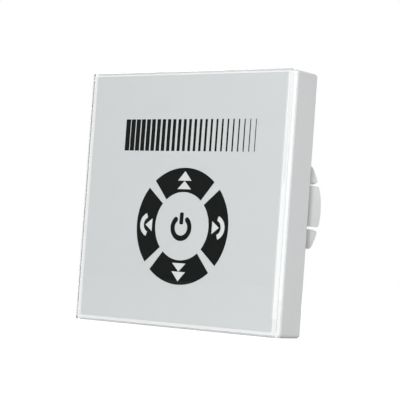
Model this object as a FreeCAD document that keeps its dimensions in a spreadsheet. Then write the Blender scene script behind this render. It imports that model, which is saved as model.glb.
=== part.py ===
"""Touch dimmer switch for a wall box: a glass-fronted unit that snaps over a moulded rear unit.

Millimetres. The origin is the centre of the wall plane. X runs to the right as seen from
the room, Y runs into the wall, and Z runs up, so the glass faces -Y.
"""
import FreeCAD, Part
import Sketcher
import os

Vector = FreeCAD.Vector
Rotation = FreeCAD.Rotation

# Driving dimensions: name, value and what it sizes
SIZES = [
    ("panel_side", 86, "side of the square glass and frame"),
    ("glass_thickness", 2.5, "glass"),
    ("glass_corner", 0.8, "radius of the glass corners seen from the front"),
    ("bevel_width", 1.9, "polished bevel, across the glass face"),
    ("bevel_depth", 0.4, "polished bevel, down the glass edge"),
    ("arris", 0.2, "broken rear edge of the glass"),
    ("film_inset", 1.0, "film and tape, in from the edge of the glass"),
    ("film_thickness", 0.15, "printed film behind the glass"),
    ("tape_thickness", 0.15, "double-sided tape behind the film"),
    ("frame_depth", 11.3, "frame, from the wall to its front lip"),
    ("frame_wall", 1.8, "frame side walls"),
    ("frame_corner", 1.2, "radius of the frame corners seen from the front"),
    ("lip_radius", 0.8, "rounded front lip of the frame"),
    ("rear_rounding", 0.5, "rounded rear rim of the frame"),
    ("ledge_width", 2.0, "ledge that carries the touch board"),
    ("ledge_thickness", 1.5, "ledge that carries the touch board"),
    ("rib_thickness", 1.0, "stiffening ribs inside the frame"),
    ("rib_reach", 1.4, "ribs, in from the frame wall"),
    ("rib_spacing", 11, "ribs, along the wall"),
    ("rib_end_gap", 0.4, "ribs to the wall of the rear unit"),
    ("catch_width", 9, "catch pockets in the frame wall"),
    ("catch_height", 2.2, "catch pockets in the frame wall"),
    ("catch_depth", 0.7, "catch pockets in the frame wall"),
    ("pry_width", 9, "screwdriver notch in the lower rim of the frame"),
    ("pry_depth", 1.5, "screwdriver notch in the lower rim of the frame"),
    ("touch_margin", 6.2, "edge of the square touch board to the inside of the frame walls"),
    ("touch_gap", 0.25, "touch board to its seat in the frame, all round"),
    ("touch_corner", 2.0, "corner radius of the touch board"),
    ("board_thickness", 1.6, "both circuit boards"),
    ("copper", 0.1, "touch electrodes"),
    ("ring_drop", 9.05, "centre of the key ring below the centre of the glass"),
    ("ring_outer", 19.3, "outer radius of the key ring"),
    ("ring_inner", 11.35, "inner radius of the key ring"),
    ("key_angle", 80, "sweep of one key"),
    ("home_radius", 9.6, "round electrode of the middle key"),
    ("light_radius", 0.7, "light holes in the touch board"),
    ("slider_width", 54.5, "slider electrodes"),
    ("slider_height", 10.5, "slider electrodes"),
    ("slider_rise", 20.9, "middle of the slider above the centre of the glass"),
    ("slider_gap", 0.5, "between slider electrodes"),
    ("lamp_length", 3.0, "side lamps behind the light holes"),
    ("lamp_width", 1.5, "side lamps"),
    ("lamp_height", 1.0, "side lamps"),
    ("lens_side", 0.8, "square lens of a side lamp"),
    ("pin_pitch", 2.54, "link pins"),
    ("pin_side", 0.64, "square link pins"),
    ("pin_play", 0.08, "link pins to their holes in the socket, each side"),
    ("pin_height", 12.5, "link pins above the centre"),
    ("pin_engaged", 4.2, "link pins inside the socket"),
    ("strip_width", 2.5, "plastic strips of the link"),
    ("strip_depth", 2.5, "plastic strip that holds the link pins"),
    ("strip_mouth", 0.4, "socket face behind the inner cover"),
    ("snap_gap", 0.3, "rear unit to the inside of the frame, all round"),
    ("flange_thickness", 2.2, "square flange against the wall"),
    ("flange_corner", 1.0, "corner radius of the flange"),
    ("upstand_gap", 2.1, "wall round the flange, behind the ledge of the frame"),
    ("upstand_wall", 1.4, "wall round the flange"),
    ("tongue_offset", 22, "snap tongues, each side of the middle of a wall"),
    ("tongue_width", 8, "snap tongues"),
    ("tongue_slot", 1.0, "slots that free the snap tongues"),
    ("nose_reach", 0.2, "nose of a snap tongue"),
    ("nose_height", 1.4, "nose of a snap tongue"),
    ("nose_end", 0.5, "nose, back from the tip of its tongue"),
    ("cup_radius", 27.5, "outside of the round cup"),
    ("cup_wall", 2.0, "wall of the cup"),
    ("skirt_wall", 1.8, "wall of the toothed skirt"),
    ("rim_reach", 29.8, "rim of the skirt behind the wall plane"),
    ("skirt_depth", 13.2, "skirt, from its rim to the floor"),
    ("floor_thickness", 1.8, "floor of the cup"),
    ("group_turn", 3.2, "turn of the lug groups above the horizontal"),
    ("slit_angle", 16.2, "slits, each side of the middle of a lug group"),
    ("slit_width", 1.2, "slits between lugs"),
    ("wire_gap", 12.6, "wide gaps for wires between lug groups"),
    ("lug_round", 1.2, "rounded corners of the lugs"),
    ("fixing_circle", 60.3, "circle of the wall box screws"),
    ("fixing_radius", 2.1, "holes for the wall box screws"),
    ("web_thickness", 1.6, "webs between the flange and the cup"),
    ("web_reach", 4.5, "webs, out from the cup and back from the flange"),
    ("web_slope", 4.0, "sloping ends of the webs"),
    ("cover_lap", 0.5, "inner cover over the wall of the cup"),
    ("cover_thickness", 1.5, "inner cover"),
    ("cover_gap", 0.2, "inner cover to its rebate"),
    ("vent_length", 15, "vents in the inner cover"),
    ("vent_width", 1.6, "vents in the inner cover"),
    ("vent_pitch", 3.6, "vents in the inner cover"),
    ("vent_drop", 3.0, "first vent below the middle of the cover"),
    ("window_gap", 0.6, "window in the cover round the link"),
    ("column_radius", 2.4, "columns under the inner cover"),
    ("column_inset", 2.1, "middle of the columns, in from the wall of the cup"),
    ("pilot_radius", 0.95, "pilot holes"),
    ("cover_pilot_depth", 8, "pilot holes in the columns"),
    ("cover_screw_length", 6, "shank of the cover screws"),
    ("boss_radius", 2.8, "bosses under the power board"),
    ("boss_inset", 4.2, "middle of the bosses, in from the edge of the power board"),
    ("board_screw_grip", 2.4, "board screws below the power board"),
    ("pilot_spare", 0.4, "pilot holes past the tips of the screws"),
    ("head_radius", 2.0, "heads of the small screws"),
    ("head_height", 1.3, "heads of the small screws"),
    ("drive_width", 0.5, "slots in the screw heads"),
    ("drive_depth", 0.6, "slots in the screw heads"),
    ("board_gap", 0.9, "round power board to the wall of the cup"),
    ("notch_gap", 0.5, "power board to the columns"),
    ("solder_gap", 1.8, "power board to the floor"),
    ("pole_pitch", 5.08, "terminal poles"),
    ("block_end", 0.5, "terminal block past its last poles"),
    ("block_width", 9.0, "terminal block, across the row of poles"),
    ("block_rise", 3.0, "terminal block above the axis of the cup"),
    ("block_wall", 1.2, "walls of the terminal block"),
    ("block_fit", 0.3, "terminal block to the opening in the floor"),
    ("rib_groove", 0.4, "grooves between the poles"),
    ("pole_width", 4.3, "chamber of one pole"),
    ("entry_sill", 0.4, "wire entries behind the floor"),
    ("wire_opening", 2.5, "height of the wire entries"),
    ("entry_width", 2.8, "width of the wire entries"),
    ("bar_thickness", 0.8, "contact bars"),
    ("bar_width", 2.2, "contact bars"),
    ("leg_width", 1.0, "solder legs of the contact bars"),
    ("leg_proud", 0.8, "solder legs past the power board"),
    ("leg_play", 0.1, "solder legs to their holes in the power board"),
    ("cage_length", 4.8, "clamp cages, across the row of poles"),
    ("cage_wall", 0.6, "side walls of the clamp cages"),
    ("jaw_thickness", 0.8, "lower jaw of the clamp cages"),
    ("thread_plate", 1.6, "threaded end of the clamp cages"),
    ("cage_travel", 2.4, "travel of the clamp cages"),
    ("running_gap", 0.1, "between the moving pieces of a terminal"),
    ("clamp_screw_radius", 1.25, "shank of the terminal screws"),
    ("thread_play", 0.05, "shank to cage, radial"),
    ("shelf_thickness", 0.8, "shelf under the heads of the terminal screws"),
    ("seat_play", 0.05, "head of the terminal screws above the shelf"),
    ("clamp_head_radius", 1.9, "head of the terminal screws"),
    ("clamp_head_height", 1.6, "head of the terminal screws"),
    ("head_sink", 0.45, "head of the terminal screws below the face of the block"),
    ("clamp_slot_width", 0.7, "slot of the terminal screws"),
    ("clamp_slot_depth", 0.8, "slot of the terminal screws"),
    ("can_radius", 4.0, "capacitors"),
    ("can_room", 3.1, "tops of the capacitors to the inner cover"),
    ("can_offset", 12.5, "capacitors, each side of the middle"),
    ("can_drop", 10.0, "capacitors below the middle"),
    ("coil_side", 7.4, "choke"),
    ("coil_height", 4.2, "choke"),
    ("coil_corner", 1.2, "cut corners of the choke"),
    ("coil_edge", 12.6, "middle of the choke, in from the lower edge of the power board"),
    ("power_chip_side", 6.6, "power transistors"),
    ("power_chip_height", 2.3, "power transistors"),
    ("power_chip_offset", 8.5, "power transistors, each side of the middle"),
    ("power_chip_rise", 0.3, "power transistors above the middle"),
    ("tab_width", 5.3, "metal tabs of the power transistors"),
    ("tab_thickness", 0.5, "metal tabs of the power transistors"),
    ("tab_reach", 1.2, "metal tabs past the bodies"),
    ("lead_width", 0.4, "leads of the chips"),
    ("lead_reach", 1.0, "leads past the bodies of the chips"),
    ("lead_thickness", 0.2, "leads of the chips"),
    ("chip_height", 1.5, "control chips"),
    ("chip_width", 3.9, "control chips"),
    ("lead_pitch", 1.27, "leads of the chips"),
    ("touch_chip_length", 9.9, "touch chip"),
    ("touch_chip_edge", 7.0, "middle of the touch chip, in from the lower edge of the touch board"),
    ("dimmer_chip_length", 5.0, "dimming chip"),
    ("chip_edge", 11.1, "dimming and supply chips, in from the side edges of the power board"),
    ("chip_rise", 13.0, "dimming and supply chips above the middle"),
    ("supply_length", 6.5, "supply chip"),
    ("supply_width", 3.5, "supply chip"),
    ("supply_pitch", 2.3, "leads of the supply chip"),
    ("fuse_length", 7.0, "fuse"),
    ("fuse_width", 3.0, "fuse"),
    ("fuse_height", 2.6, "fuse"),
    ("fuse_cap", 1.4, "metal caps of the fuse"),
    ("cap_proud", 0.1, "metal caps of the fuse past its middle, all round"),
    ("fuse_edge", 6.6, "middle of the fuse, in from the lower edge of the power board"),
]
WALLS = 4
KEYS = 4
SLIDER_PADS = 6
LINK_PINS = 6
POLES = 4
LUG_GROUPS = 4
FIXING_HOLES = 4
VENTS = 5

doc = FreeCAD.newDocument("touch_dimmer_switch")
sheet = doc.addObject("Spreadsheet::Sheet", "sizes")
for row, (alias, value, note) in enumerate(SIZES, 1):
    sheet.set(f"A{row}", alias)
    sheet.set(f"B{row}", str(value))
    sheet.set(f"C{row}", note)
    sheet.setAlias(f"B{row}", alias)
doc.recompute()

pieces = []

# Levels along Y, each worked out from its neighbour: room side first
FRAME_FRONT = "(-sizes.frame_depth)"
TAPE_FRONT = f"({FRAME_FRONT} - sizes.tape_thickness)"
FILM_FRONT = f"({TAPE_FRONT} - sizes.film_thickness)"
GLASS_FRONT = f"({FILM_FRONT} - sizes.glass_thickness)"
COPPER_BACK = f"({FRAME_FRONT} + sizes.copper)"
TOUCH_BACK = f"({COPPER_BACK} + sizes.board_thickness)"
LEDGE_BACK = f"({TOUCH_BACK} + sizes.ledge_thickness)"
STRIP_BACK = f"({TOUCH_BACK} + sizes.strip_depth)"
FLANGE_FRONT = "(-sizes.flange_thickness)"
UPSTAND_FRONT = f"({LEDGE_BACK} + sizes.upstand_gap)"
COVER_BACK = f"({FLANGE_FRONT} + sizes.cover_thickness)"
SOCKET_FRONT = f"({COVER_BACK} + sizes.strip_mouth)"
PIN_TIP = f"({SOCKET_FRONT} + sizes.pin_engaged)"

# Levels behind the wall plane, worked back from the rim of the skirt
RIM = "(sizes.rim_reach)"
FLOOR_BACK = "(sizes.rim_reach - sizes.skirt_depth)"
FLOOR_FRONT = f"({FLOOR_BACK} - sizes.floor_thickness)"
BOARD_BACK = f"({FLOOR_FRONT} - sizes.solder_gap)"
BOARD_FRONT = f"({BOARD_BACK} - sizes.board_thickness)"
SILL = f"({FLOOR_BACK} + sizes.entry_sill)"
BAR_LOW = f"({SILL} + sizes.wire_opening)"
BAR_HIGH = f"({BAR_LOW} + sizes.bar_thickness)"
PLATE_LOW = f"({BAR_HIGH} + sizes.running_gap)"
PLATE_HIGH = f"({PLATE_LOW} + sizes.thread_plate)"
SHELF_LOW = f"({PLATE_HIGH} + sizes.cage_travel + sizes.running_gap)"
SHELF_HIGH = f"({SHELF_LOW} + sizes.shelf_thickness)"
HEAD_LOW = f"({SHELF_HIGH} + sizes.seat_play)"
HEAD_HIGH = f"({HEAD_LOW} + sizes.clamp_head_height)"
BLOCK_BACK = f"({HEAD_HIGH} + sizes.head_sink)"

# Half sides shared by pieces that fit each other
PANEL = "(sizes.panel_side / 2)"
FILM = f"({PANEL} - sizes.film_inset)"
FRAME_INSIDE = f"({PANEL} - sizes.frame_wall)"
FLANGE = f"({FRAME_INSIDE} - sizes.snap_gap)"
UPSTAND_INSIDE = f"({FLANGE} - sizes.upstand_wall)"
TOUCH = f"({FRAME_INSIDE} - sizes.touch_margin)"
FIXING = "(sizes.fixing_circle / 2)"

# Radii inside the round cup
CUP_INSIDE = "(sizes.cup_radius - sizes.cup_wall)"
COVER = f"({CUP_INSIDE} + sizes.cover_lap)"
COLUMN = f"({CUP_INSIDE} - sizes.column_inset)"
BOARD = f"({CUP_INSIDE} - sizes.board_gap)"
BOSS = f"({BOARD} - sizes.boss_inset)"

# Terminal block: places shared by its chambers, contacts, cages and screws
BLOCK_LENGTH = f"({POLES} * sizes.pole_pitch + 2 * sizes.block_end)"
BLOCK_LOW = "(sizes.block_rise - sizes.block_width / 2)"
BLOCK_HIGH = "(sizes.block_rise + sizes.block_width / 2)"
CHAMBER_LOW = f"({BLOCK_LOW} + sizes.block_wall)"
CHAMBER_HIGH = f"({BLOCK_HIGH} - sizes.block_wall)"
CAGE_LOW = f"({CHAMBER_LOW} + sizes.running_gap)"
CAGE_HIGH = f"({CAGE_LOW} + sizes.cage_length)"
SCREW_UP = f"({CAGE_LOW} + sizes.cage_length / 2)"
LEG_HIGH = f"({CHAMBER_HIGH} - sizes.running_gap)"
LEG_LOW = f"({LEG_HIGH} - sizes.bar_thickness)"


def origin_part(body, role):
    return next(item for item in body.Origin.OriginFeatures if item.Role == role)


def new_body(label):
    body = doc.addObject("PartDesign::Body", label)
    body.Label = label
    pieces.append(body)
    return body


def new_sketch(body, name, level, turn=None, plane="XZ_Plane"):
    """A sketch parallel to the wall at a level along Y, turned about Y where asked."""
    sketch = body.newObject("Sketcher::SketchObject", f"{body.Name}_{name}")
    sketch.AttachmentSupport = [(origin_part(body, plane), "")]
    sketch.MapMode = "FlatFace"
    away = f"-({level})" if plane == "XZ_Plane" else level
    sketch.setExpression("AttachmentOffset.Base.z", away)
    if turn:
        sketch.setExpression("AttachmentOffset.Rotation.Angle", turn)
    return sketch


def place_point(sketch, geometry, corner, across, up):
    for kind, expression in (("DistanceX", across), ("DistanceY", up)):
        index = sketch.addConstraint(Sketcher.Constraint(kind, -1, 1, geometry, corner, 1))
        sketch.setExpression(f"Constraints[{index}]", str(expression))


def add_polygon(sketch, corners):
    """A closed outline whose corners are pairs of expressions."""
    first = sketch.GeometryCount
    count = len(corners)
    start = [Vector(1, 0, 0)]
    for _ in range(count - 1):
        start.append(Rotation(Vector(0, 0, 1), 360 / count).multVec(start[-1]))
    for index in range(count):
        sketch.addGeometry(Part.LineSegment(start[index], start[(index + 1) % count]), False)
    for index in range(count):
        after = first + (index + 1) % count
        sketch.addConstraint(Sketcher.Constraint("Coincident", first + index, 2, after, 1))
        place_point(sketch, first + index, 1, *corners[index])


def add_rectangle(sketch, left, right, low, high):
    add_polygon(sketch, [(left, low), (right, low), (right, high), (left, high)])


def add_square(sketch, half):
    add_rectangle(sketch, f"-{half}", half, f"-{half}", half)


def add_circle(sketch, radius, across="0", up="0"):
    index = sketch.addGeometry(Part.Circle(Vector(), Vector(0, 0, 1), 1), False)
    constraint = sketch.addConstraint(Sketcher.Constraint("Radius", index, 1))
    sketch.setExpression(f"Constraints[{constraint}]", radius)
    place_point(sketch, index, 3, across, up)


def extrude(body, sketch, kind, length, reverse):
    feature = body.newObject(f"PartDesign::{kind}", f"{sketch.Name}_{kind.lower()}")
    feature.Profile = sketch
    feature.setExpression("Length", length)
    feature.Reversed = reverse
    before = body_volume(body, feature)
    doc.recompute()
    change = feature.Shape.Volume - before
    if (kind == "Pad") != (change > 0) or abs(change) < 1e-6:
        raise RuntimeError(f"{feature.Name} changes the volume by {change}")
    return feature


def body_volume(body, feature):
    base = feature.BaseFeature
    return base.Shape.Volume if base else 0.0


def pad_to_wall(body, sketch, length):
    return extrude(body, sketch, "Pad", length, True)


def pad_to_room(body, sketch, length):
    return extrude(body, sketch, "Pad", length, False)


def cut_to_wall(body, sketch, length):
    return extrude(body, sketch, "Pocket", length, False)


def cut_to_room(body, sketch, length):
    return extrude(body, sketch, "Pocket", length, True)


def repeat_round(body, feature, count):
    """Copies of a feature spaced evenly about the Y axis."""
    pattern = body.newObject("PartDesign::PolarPattern", f"{feature.Name}_round")
    pattern.Originals = [feature]
    pattern.Axis = (origin_part(body, "Y_Axis"), [""])
    pattern.Angle = 360
    pattern.Occurrences = count
    body.Tip = pattern
    doc.recompute()
    return pattern


def repeat_along(body, feature, role, length, count):
    """Copies of a feature spaced evenly along an axis."""
    pattern = body.newObject("PartDesign::LinearPattern", f"{feature.Name}_along")
    pattern.Originals = [feature]
    pattern.Direction = (origin_part(body, role), [""])
    pattern.setExpression("Length", length)
    pattern.Occurrences = count
    body.Tip = pattern
    doc.recompute()
    return pattern


def edges_where(feature, wanted):
    return [f"Edge{index}" for index, edge in enumerate(feature.Shape.Edges, 1) if wanted(edge)]


def direction(edge):
    return edge.tangentAt(edge.FirstParameter)


def runs_deep(edge):
    return abs(direction(edge).y) > 0.99


def lies_at(edge, level):
    box = edge.BoundBox
    return abs(box.YMin - level) < 1e-4 and abs(box.YMax - level) < 1e-4


def round_edges(body, feature, wanted, radius, name):
    fillet = body.newObject("PartDesign::Fillet", f"{body.Name}_{name}")
    fillet.Base = (feature, edges_where(feature, wanted))
    fillet.setExpression("Radius", radius)
    doc.recompute()
    return fillet


def finish(item, label):
    item.Label = label
    pieces.append(item)
    return item


def new_box(name, across, deep, up):
    """A block between pairs of expressions along X, Y and Z."""
    block = doc.addObject("Part::Box", name)
    for side, axis, (low, high) in (("Length", "x", across), ("Width", "y", deep), ("Height", "z", up)):
        block.setExpression(side, f"({high}) - ({low})")
        block.setExpression(f"Placement.Base.{axis}", low)
    return block


def centred(middle, length):
    return f"({middle}) - ({length}) / 2", f"({middle}) + ({length}) / 2"


def new_rod(name, radius, deep, across="0", up="0"):
    """A round bar along Y between two levels."""
    rod = doc.addObject("Part::Cylinder", name)
    rod.Placement = FreeCAD.Placement(Vector(), Rotation(Vector(1, 0, 0), -90))
    low, high = deep
    rod.setExpression("Radius", radius)
    rod.setExpression("Height", f"({high}) - ({low})")
    rod.setExpression("Placement.Base.x", across)
    rod.setExpression("Placement.Base.y", low)
    rod.setExpression("Placement.Base.z", up)
    return rod


def join(name, items):
    fused = doc.addObject("Part::MultiFuse", name)
    fused.Shapes = items
    return fused


def cut(name, base, tool):
    result = doc.addObject("Part::Cut", name)
    result.Base = base
    result.Tool = tool
    return result


def group(name, items):
    compound = doc.addObject("Part::Compound", name)
    compound.Links = items
    return compound


def flat_layer(label, half, corner, level, thickness):
    """A square sheet with rounded corners whose back lies at a level."""
    body = new_body(label)
    outline = new_sketch(body, "outline", level)
    add_square(outline, half)
    slab = pad_to_room(body, outline, thickness)
    round_edges(body, slab, runs_deep, corner, "corners")
    return body


def glass_panel():
    """Toughened glass with a shallow polished bevel round its face."""
    body = new_body("glass_panel")
    outline = new_sketch(body, "outline", FILM_FRONT)
    add_square(outline, PANEL)
    slab = pad_to_room(body, outline, "sizes.glass_thickness")
    bevel = body.newObject("PartDesign::Chamfer", "glass_bevel")
    bevel.Base = (slab, edges_where(slab, lambda edge: lies_at(edge, slab.Shape.BoundBox.YMin)))
    bevel.ChamferType = "Two distances"
    bevel.setExpression("Size", "sizes.bevel_depth")
    bevel.setExpression("Size2", "sizes.bevel_width")
    doc.recompute()
    corners = round_edges(body, bevel, runs_deep, "sizes.glass_corner", "corners")
    arris = body.newObject("PartDesign::Chamfer", "glass_arris")
    arris.Base = (corners, edges_where(corners, lambda edge: lies_at(edge, slab.Shape.BoundBox.YMax)))
    arris.setExpression("Size", "sizes.arris")


def front_frame():
    """Moulded square frame: side walls, a seat for the touch board, ribs and catch pockets."""
    body = new_body("front_frame")
    outline = new_sketch(body, "outline", "0")
    add_square(outline, PANEL)
    block = pad_to_room(body, outline, "sizes.frame_depth")
    corners = round_edges(body, block, runs_deep, "sizes.frame_corner", "corners")
    front = block.Shape.BoundBox.YMin
    lip = round_edges(body, corners, lambda edge: lies_at(edge, front), "sizes.lip_radius", "lip")
    round_edges(body, lip, lambda edge: lies_at(edge, 0), "sizes.rear_rounding", "rear_rim")

    hollow = new_sketch(body, "hollow", "0")
    add_square(hollow, FRAME_INSIDE)
    cut_to_room(body, hollow, f"-{LEDGE_BACK}")
    seat = new_sketch(body, "seat", FRAME_FRONT)
    add_square(seat, f"({TOUCH} + sizes.touch_gap)")
    cut_to_wall(body, seat, f"{TOUCH_BACK} - {FRAME_FRONT}")
    opening = new_sketch(body, "opening", TOUCH_BACK)
    add_square(opening, f"({TOUCH} - sizes.ledge_width)")
    cut_to_wall(body, opening, "sizes.ledge_thickness")

    ribs = new_sketch(body, "ribs", LEDGE_BACK)
    inner = f"{FRAME_INSIDE} - sizes.rib_reach"
    outer = f"{FRAME_INSIDE} + sizes.frame_wall / 2"
    for middle in ("-sizes.rib_spacing", "0", "sizes.rib_spacing"):
        add_rectangle(ribs, inner, outer, *centred(middle, "sizes.rib_thickness"))
    rib = pad_to_wall(body, ribs, f"{UPSTAND_FRONT} - sizes.rib_end_gap - {LEDGE_BACK}")
    repeat_round(body, rib, WALLS)

    nose_middle = f"{UPSTAND_FRONT} + sizes.nose_end + sizes.nose_height / 2"
    catches = new_sketch(body, "catches", f"{nose_middle} + sizes.catch_height / 2")
    inner = f"{FRAME_INSIDE} - sizes.snap_gap"
    outer = f"{FRAME_INSIDE} + sizes.catch_depth"
    for middle in ("-sizes.tongue_offset", "sizes.tongue_offset"):
        add_rectangle(catches, inner, outer, *centred(middle, "sizes.catch_width"))
    catch = cut_to_room(body, catches, "sizes.catch_height")
    repeat_round(body, catch, WALLS)

    notch = new_sketch(body, "notch", "0")
    left, right = centred("0", "sizes.pry_width")
    add_rectangle(notch, left, right, f"-{PANEL} - sizes.frame_wall", f"-{FRAME_INSIDE} + sizes.snap_gap")
    cut_to_room(body, notch, "sizes.pry_depth")


def key_places():
    """Light hole of the middle key, then those between it and the keys round it."""
    drop = "-sizes.ring_drop"
    reach = "(sizes.home_radius + sizes.ring_inner) / 2"
    level = [("0", drop), (reach, drop), (f"-{reach}", drop)]
    return level + [("0", f"{drop} + {reach}"), ("0", f"{drop} - {reach}")]


def touch_board():
    """Square board with a light hole behind each key and soldered link pins."""
    body = new_body("touch_board")
    outline = new_sketch(body, "outline", TOUCH_BACK)
    add_square(outline, TOUCH)
    slab = pad_to_room(body, outline, "sizes.board_thickness")
    round_edges(body, slab, runs_deep, "sizes.touch_corner", "corners")
    lights = new_sketch(body, "lights", COPPER_BACK)
    for across, up in key_places():
        add_circle(lights, "sizes.light_radius", across, up)
    cut_to_wall(body, lights, "sizes.board_thickness")


def touch_electrodes():
    """Copper on the face of the touch board: five keys and a row of slider pads."""
    deep = (FRAME_FRONT, COPPER_BACK)
    pads = [new_rod("home_pad", "sizes.home_radius", deep, up="-sizes.ring_drop")]
    for index in range(KEYS):
        parts = []
        for name, radius in (("outer", "sizes.ring_outer"), ("inner", "sizes.ring_inner")):
            disc = new_rod(f"key_{name}_{index}", radius, deep, up="-sizes.ring_drop")
            disc.setExpression("Angle", "sizes.key_angle")
            turn = Rotation(Vector(0, 1, 0), -index * 360 / KEYS + sheet.key_angle / 2)
            disc.Placement.Rotation = turn.multiply(Rotation(Vector(1, 0, 0), -90))
            parts.append(disc)
        pads.append(cut(f"key_pad_{index}", *parts))
    pitch = f"((sizes.slider_width + sizes.slider_gap) / {SLIDER_PADS})"
    for index in range(SLIDER_PADS):
        middle = f"{index - (SLIDER_PADS - 1) / 2} * {pitch}"
        across = centred(middle, f"{pitch} - sizes.slider_gap")
        up = centred("sizes.slider_rise", "sizes.slider_height")
        pads.append(new_box(f"slider_pad_{index}", across, deep, up))
    hole = new_rod("home_pad_hole", "sizes.light_radius", deep, *key_places()[0])
    pads[0] = cut("open_home_pad", pads[0], hole)
    finish(group("touch_electrodes", pads), "touch_electrodes")


def indicator_lamps():
    """Small lamps behind the touch board, each with a square lens in its light hole."""
    lamps = []
    back = f"{TOUCH_BACK} + sizes.lamp_height"
    lens_deep = (f"{TOUCH_BACK} - sizes.board_thickness / 2", back)
    for index, (across, up) in enumerate(key_places()):
        length = centred(across, "sizes.lamp_length")
        case = new_box(f"lamp_case_{index}", length, (TOUCH_BACK, back), centred(up, "sizes.lamp_width"))
        lens_across = centred(across, "sizes.lens_side")
        lens = new_box(f"lamp_lens_{index}", lens_across, lens_deep, centred(up, "sizes.lens_side"))
        lamps.append(join(f"lamp_{index}", [case, lens]))
    finish(group("indicator_lamps", lamps), "indicator_lamps")


def new_chip(name, middle, length, width, board, towards, leads, pitch="sizes.lead_pitch"):
    """A chip package with a row of leads on each long side, standing on a board face."""
    across, up = middle
    top = f"({board}) + ({towards}) * sizes.chip_height"
    foot = f"({board}) + ({towards}) * sizes.lead_thickness"
    case_deep = (board, top) if towards > 0 else (top, board)
    foot_deep = (board, foot) if towards > 0 else (foot, board)
    parts = [new_box(f"{name}_case", centred(across, length), case_deep, centred(up, width))]
    for index in range(leads):
        place = f"({across}) + {index - (leads - 1) / 2} * {pitch}"
        span = centred(up, f"{width} + 2 * sizes.lead_reach")
        parts.append(new_box(f"{name}_lead_{index}", centred(place, "sizes.lead_width"), foot_deep, span))
    return join(name, parts)


def pin_across(index):
    return f"{index - (LINK_PINS - 1) / 2} * sizes.pin_pitch"


def link_strip(label, front, back, hole_side):
    """Plastic strip with a row of square holes for the link pins."""
    body = new_body(label)
    outline = new_sketch(body, "outline", front)
    left, right = centred("0", f"{LINK_PINS} * sizes.pin_pitch")
    add_rectangle(outline, left, right, *centred("sizes.pin_height", "sizes.strip_width"))
    pad_to_wall(body, outline, f"{back} - {front}")
    hole = new_sketch(body, "hole", front)
    left, right = centred(pin_across(0), hole_side)
    add_rectangle(hole, left, right, *centred("sizes.pin_height", hole_side))
    first = cut_to_wall(body, hole, f"{back} - {front}")
    repeat_along(body, first, "X_Axis", f"{LINK_PINS - 1} * sizes.pin_pitch", LINK_PINS)


def link_pins():
    """Square pins that carry supply and touch signals between the two boards."""
    pins = []
    for index in range(LINK_PINS):
        across = centred(pin_across(index), "sizes.pin_side")
        up = centred("sizes.pin_height", "sizes.pin_side")
        pins.append(new_box(f"link_pin_{index}", across, (TOUCH_BACK, PIN_TIP), up))
    finish(group("link_pins", pins), "link_pins")


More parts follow.
